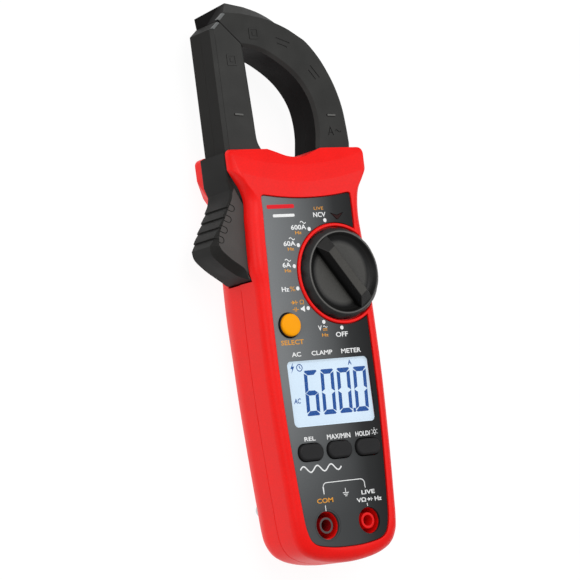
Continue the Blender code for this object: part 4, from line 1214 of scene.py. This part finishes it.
def make_labels():
    """Range marks, words, symbols and two plain bars, printed on the face."""
    surface = PANEL_Z[1]
    white, orange, red = Print(surface), Print(surface), Print(surface)
    for place in arc(KNOB, STOP_RING, FIRST_STOP, FIRST_STOP + 7 * STOP_STEP, 7):
        white.dot(place, 0.75)
    for words, left, base, width, hz, wave in (
            ("600A", -8.65, 16.7, 6.9, (-5.6, 15.6), (-3.0, 19.35)),
            ("60A", -12.95, 10.75, 5.4, (-9.9, 9.65), (-8.9, 13.4)),
            ("6A", -14.65, 2.85, 3.8, (-12.5, 1.65), (-12.0, 5.5))):
        white.text(words, left, base, width, 1.85)
        white.tilde(*wave)
        orange.text("Hz", hz[0] - 1.45, hz[1] - 0.6, 2.9, 1.2)
    for label in WHITE_LABELS:
        white.text(*label)
    for label in ORANGE_LABELS:
        orange.text(*label)
    orange.diode(-11.4, -10.3, 1.1)
    orange.capacitor(-11.3, -12.9)
    white.shape([(-9.0, -12.4), (-9.0, -13.2), (-8.4, -13.2), (-7.2, -14.0), (-7.2, -11.6),
                 (-8.4, -12.4)])
    white.tilde(1.0, -19.95, 1.9, 0.28, 0.25)
    for x in (0.1, 0.8, 1.5):
        orange.line([(x - 0.25, -21.3), (x + 0.25, -21.3)], 0.28)
    orange.line([(-0.2, -20.75), (1.75, -20.75)], 0.28)
    white.line(circle((17.2, -60.3), 0.6, 16), 0.24, closed=True)
    white.line([(16.9, -61.35), (17.5, -61.35)], 0.3)
    for ray in range(-30, 240, 60):
        a = math.radians(ray)
        white.line([(17.2 + r * math.cos(a), -60.3 + r * math.sin(a)) for r in (1.0, 1.55)], 0.2)
    white.tilde(-9.3, -71.7, 18.6, 1.15, 0.5, 3)
    bracket = [(-9.45, -81.4), (-9.45, -78.9)] + arc((-7.75, -78.9), 1.7, 180, 90, 8)
    bracket += arc((7.75, -78.9), 1.7, 90, 0, 8) + [(9.5, -80.6)]
    white.line(bracket, 0.3)
    white.line([(0.4, -79.9), (0.4, -81.6)], 0.28)
    for half, drop in ((1.35, 81.6), (0.9, 82.2), (0.45, 82.8)):
        white.line([(0.4 - half, -drop), (0.4 + half, -drop)], 0.28)
    white.line([(-9.55, -85.4), (-9.55, -87.5)], 0.3)
    white.diode(11.1, -84.95, 0.95)
    white.line([(9.5, -86.3), (9.5, -87.4)], 0.3)
    red.shape(rounded_box((-12.2, 25.6), (12.4, 1.5), 0.5, 4))
    white.shape(rounded_box((-11.2, 22.2), (9.8, 1.1), 0.4, 4))
    white.settle("print_white", "panel_grey", FINISH["white_ink"])
    orange.settle("print_orange", "panel_grey", FINISH["orange_ink"])
    red.settle("print_red", "panel_grey", FINISH["red_ink"])


# ----------------------------------------------------------------------------- display
DIGIT_W, DIGIT_H = 6.0, 16.8
BAR_T, POST_T = 1.8, 1.6      # thickness of a digit's level and upright segments
LEAN = 0.055                  # sideways lean of the digits for each unit of height
SEGMENTS = {"6": "acdefg", "0": "abcdef"}


def segment_shapes():
    """Outlines of the seven bars of a digit, about its lower left corner."""
    w, h, bar, post, gap, cut = DIGIT_W, DIGIT_H, BAR_T, POST_T, 0.1, 0.45
    mid = h / 2
    top = [(gap, h - cut), (gap + cut, h), (w - gap - cut, h), (w - gap, h - cut),
           (w - post, h - bar), (post, h - bar)]
    middle = [(gap + 0.2, mid), (post + gap, mid + bar / 2), (w - post - gap, mid + bar / 2),
              (w - gap - 0.2, mid), (w - post - gap, mid - bar / 2), (post + gap, mid - bar / 2)]
    left = [(0, h - bar * 0.6), (post - gap, h - bar - gap), (post - gap, mid + bar / 2 + gap),
            (0, mid + gap * 0.6)]

    def flip(shape, across, along):
        return [(w - x if across else x, h - y if along else y) for x, y in shape]
    return {"a": top, "d": flip(top, False, True), "g": middle, "f": left,
            "b": flip(left, True, False), "e": flip(left, False, True),
            "c": flip(left, True, True)}


def make_display():
    glass = prism([(-19.2, -57.1), (19.2, -57.1), (19.2, -30.9), (-19.2, -30.9)], 27.4, 29.0,
                  top=0.1, bottom=0.1)
    settle(glass, "display_glass", "meter", "lcd_blue", FINISH["display"], "lcd_glass")
    pane = prism(rounded_box((LCD[0] + 0.25, LCD[1]), [s - 0.6 for s in WINDOW], 1.5), PANEL_Z[0],
                 PANEL_Z[1] - 0.1, top=0.12, bottom=0.1)
    settle(pane, "window_pane", "meter", "window_clear", FINISH["pane"], "lcd_window")
    marks = Print(29.0)
    shapes = segment_shapes()
    for number, left in zip("6000", (-11.35, -3.85, 3.6, 11.15)):
        for name in SEGMENTS[number]:
            marks.shape([(left + x + LEAN * y, -52.3 + y) for x, y in shapes[name]])
    marks.shape(rounded_box((10.5, -51.5), (1.15, 1.5), 0.2, 3))
    marks.shape([(-14.6, -32.1), (-16.2, -34.5), (-15.35, -34.5), (-15.95, -36.2),
                 (-14.35, -33.7), (-15.2, -33.7)])
    marks.line(circle((-12.1, -34.3), 1.25, 24), 0.34, closed=True)
    marks.line([(-12.1, -33.5), (-12.1, -34.3), (-11.6, -34.6)], 0.3)
    marks.text("A", 10.1, -34.6, 1.75, 1.8)
    marks.text("AC", -16.5, -47.4, 3.2, 1.9, lean=0.2)
    marks.settle("display_marks", "lcd_blue", FINISH["blue_ink"])


# ---------------------------------------------------------------------------- controls
def make_knob():
    profile = [(0, 28.6), (2.9, 28.6), (2.9, 25.9), (4.9, 25.9), (4.9, 29.4), (16.9, 29.4),
               (17.25, 29.55, 0.0), (KNOB_R, 29.9, 0.55), (17.25, 31.0, 0.5),
               (16.9, 31.9, 0.2), (16.2, 32.75, 0.0), (15.75, 33.2), (15.45, 33.42), (15.2, 33.5),
               (14.95, 33.46), (14.75, 33.3), (14.2, 32.55), (13.5, 31.85), (12.8, 31.45),
               (12.0, 31.25), (9.0, 31.3), (0, 31.4)]
    knob = lathe(KNOB, profile, 160, flutes=16)
    turn = Matrix.Rotation(math.radians(KNOB_TURN), 2)
    loops = []
    for length, width, z in ((14.6, 3.75, 30.9), (14.85, 3.35, 33.35), (10.5, 1.9, 35.98)):
        corners = [(length, -width), (length, width), (-length, width), (-length, -width)]
        loops.append([(*(turn @ Vector(c) + Vector(KNOB)), z) for c in corners])
    join(knob, soften(loft(loops), 0.22, 2))
    settle(knob, "range_knob", "selector", "knob_black", FINISH["knob"], "rotary_knob",
           angle=32)


def make_keys():
    for name, x in KEYS.items():
        rows = [(0, 26.0)] + quarter(0.9, 30.8, 6)
        form = loft([at(inset(key_outline(x), d) if d else key_outline(x), z)
                     for d, z in rows])
        join(form, prism(key_outline(x, 0.7), 24.6, 26.4))
        settle(form, name.replace("button", "cap"), name.replace("button", "key"),
               "key_black", FINISH["key"], name)
    crown = [(0, 24.6), (5.4, 24.6), (5.4, 26.4), (SELECT_R, 26.4), (SELECT_R, 30.75),
             (4.2, 30.85), (4.2, 31.75), (4.13, 32.0), (3.95, 32.2), (3.65, 32.33),
             (3.0, 32.4), (1.5, 32.46), (0, 32.48)]
    settle(lathe(SELECT, crown), "select_cap", "select_key", "select_orange",
           FINISH["select"], "select_button")


def make_jacks():
    for name, place in JACKS.items():
        bore = 2.15 if name == "com" else 1.95
        sleeve = lathe(place, [(2.6, 8.0), (4.6, 8.0), (4.6, 9.2), (3.05, 9.2), (3.05, 29.2),
                               (2.95, 29.36), (2.8, 29.4), (bore + 0.25, 29.4),
                               (bore + 0.08, 29.36), (bore, 29.2), (bore, 22.9), (2.6, 22.9)])
        settle(sleeve, f"{name}_tube", "meter", "sleeve_grey" if name == "com" else "sleeve_red",
               FINISH[name], f"{name}_sleeve")


def make_lens():
    lens = prism(ncv_outline(), PANEL_Z[0] - 0.2, PANEL_Z[1] + 0.08, top=0.15)
    join(lens, cylinder(NCV, 1.9, 27.4, 29.3))
    settle(lens, "live_lens", "meter", "lens_red", FINISH["lens"], "ncv_lens")


# ------------------------------------------------------------------- floor and lighting
def aim(thing, target):
    direction = Vector(target) - thing.location
    thing.rotation_euler = direction.to_track_quat("-Z", "Y").to_euler()


# place in metres, size in metres and power in watts of each soft light
LIGHTS = {
    "key": ((-0.2, 0.5, 1.2), 0.8, 7.5),
    "left": ((-1.0, 0.2, 0.7), 0.6, 2.6),
    "right": ((0.7, 0.2, 0.9), 0.7, 2.6),
}
FLOOR_Z = -0.02               # a hair under the back, so the two never flicker
FLOOR_REACH = 5.0             # metres
FLOOR_MIDDLE = (0, 0.03)      # metres: every point of the case's outline is in sight of it
CAMERA_PLACE = (-0.5733, -0.1002, 0.8114)   # metres
CAMERA_RIGHT = (0.813, -0.129, 0.5679)
CAMERA_UP = (0.0487, 0.9868, 0.1545)
CAMERA_BACK = (-0.5803, -0.098, 0.8085)
CAMERA_LENS = 163.24


def make_stage():
    """A white floor, open under the back so that the back shows from below."""
    hole = [Vector(p) * MM for p in
            case_loop(BACK_ROUND + 0.5, FLOOR_Z, head_chamfer(0) + 0.5)]
    middle = Vector((*FLOOR_MIDDLE, hole[0].z))
    far = [middle + (p - middle).normalized() * FLOOR_REACH for p in hole]
    count = len(hole)
    floor = build([tuple(p) for p in far + hole],
                  [[i, (i + 1) % count, count + (i + 1) % count, count + i]
                   for i in range(count)])
    floor.name = "floor"
    made = Finish("floor_white", 0.9, Specular_IOR_Level=0.0, Emission_Strength=0.93,
                  Emission_Color=(1, 1, 1, 1))
    film = made.noise(8, 2.0)
    made.color(made.between(film, (0.1,) * 3, (0.11,) * 3))
    floor.data.materials.append(made.material)
    world = bpy.data.worlds.new("studio")
    world.use_nodes = True
    world.node_tree.nodes["Background"].inputs["Color"].default_value = (1, 1, 1, 1)
    world.node_tree.nodes["Background"].inputs["Strength"].default_value = 0.4
    bpy.context.scene.world = world
    for name, (place, size, power) in LIGHTS.items():
        light = bpy.data.lights.new(name, "AREA")
        light.size = size
        light.energy = power
        thing = bpy.data.objects.new(name, light)
        bpy.context.scene.collection.objects.link(thing)
        thing.location = place
        aim(thing, (0, 0, 0.02))


def make_camera():
    data = bpy.data.cameras.new("camera")
    data.lens = CAMERA_LENS
    data.sensor_width = 36
    data.clip_start, data.clip_end = 0.05, 20
    camera = bpy.data.objects.new("camera", data)
    bpy.context.scene.collection.objects.link(camera)
    turn = Matrix((CAMERA_RIGHT, CAMERA_UP, CAMERA_BACK)).transposed()
    camera.matrix_world = (Matrix.Translation(CAMERA_PLACE)
                           @ turn.to_quaternion().to_matrix().to_4x4())
    bpy.context.scene.camera = camera
    view = bpy.context.scene.view_settings
    view.view_transform = "Standard"
    view.look = "None"


make_camera()
make_stage()
make_front_case()
make_rear_case()
make_battery_door()
make_screw("door_screw", "battery_door", COVER_SCREW, 2.4, 1.2, 0.1, 0.7, 9.5,
           "battery_cover_screw")
for number, spot in enumerate(SCREWS, start=1):
    make_screw(f"shell_screw_{number}", "meter", spot, 2.6, 1.3, 1.9, 4.2, 25.2,
               f"case_screw_{number}")
make_jaws()
make_lever()
make_panel()
make_labels()
make_display()
make_knob()
make_keys()
make_jacks()
make_lens()
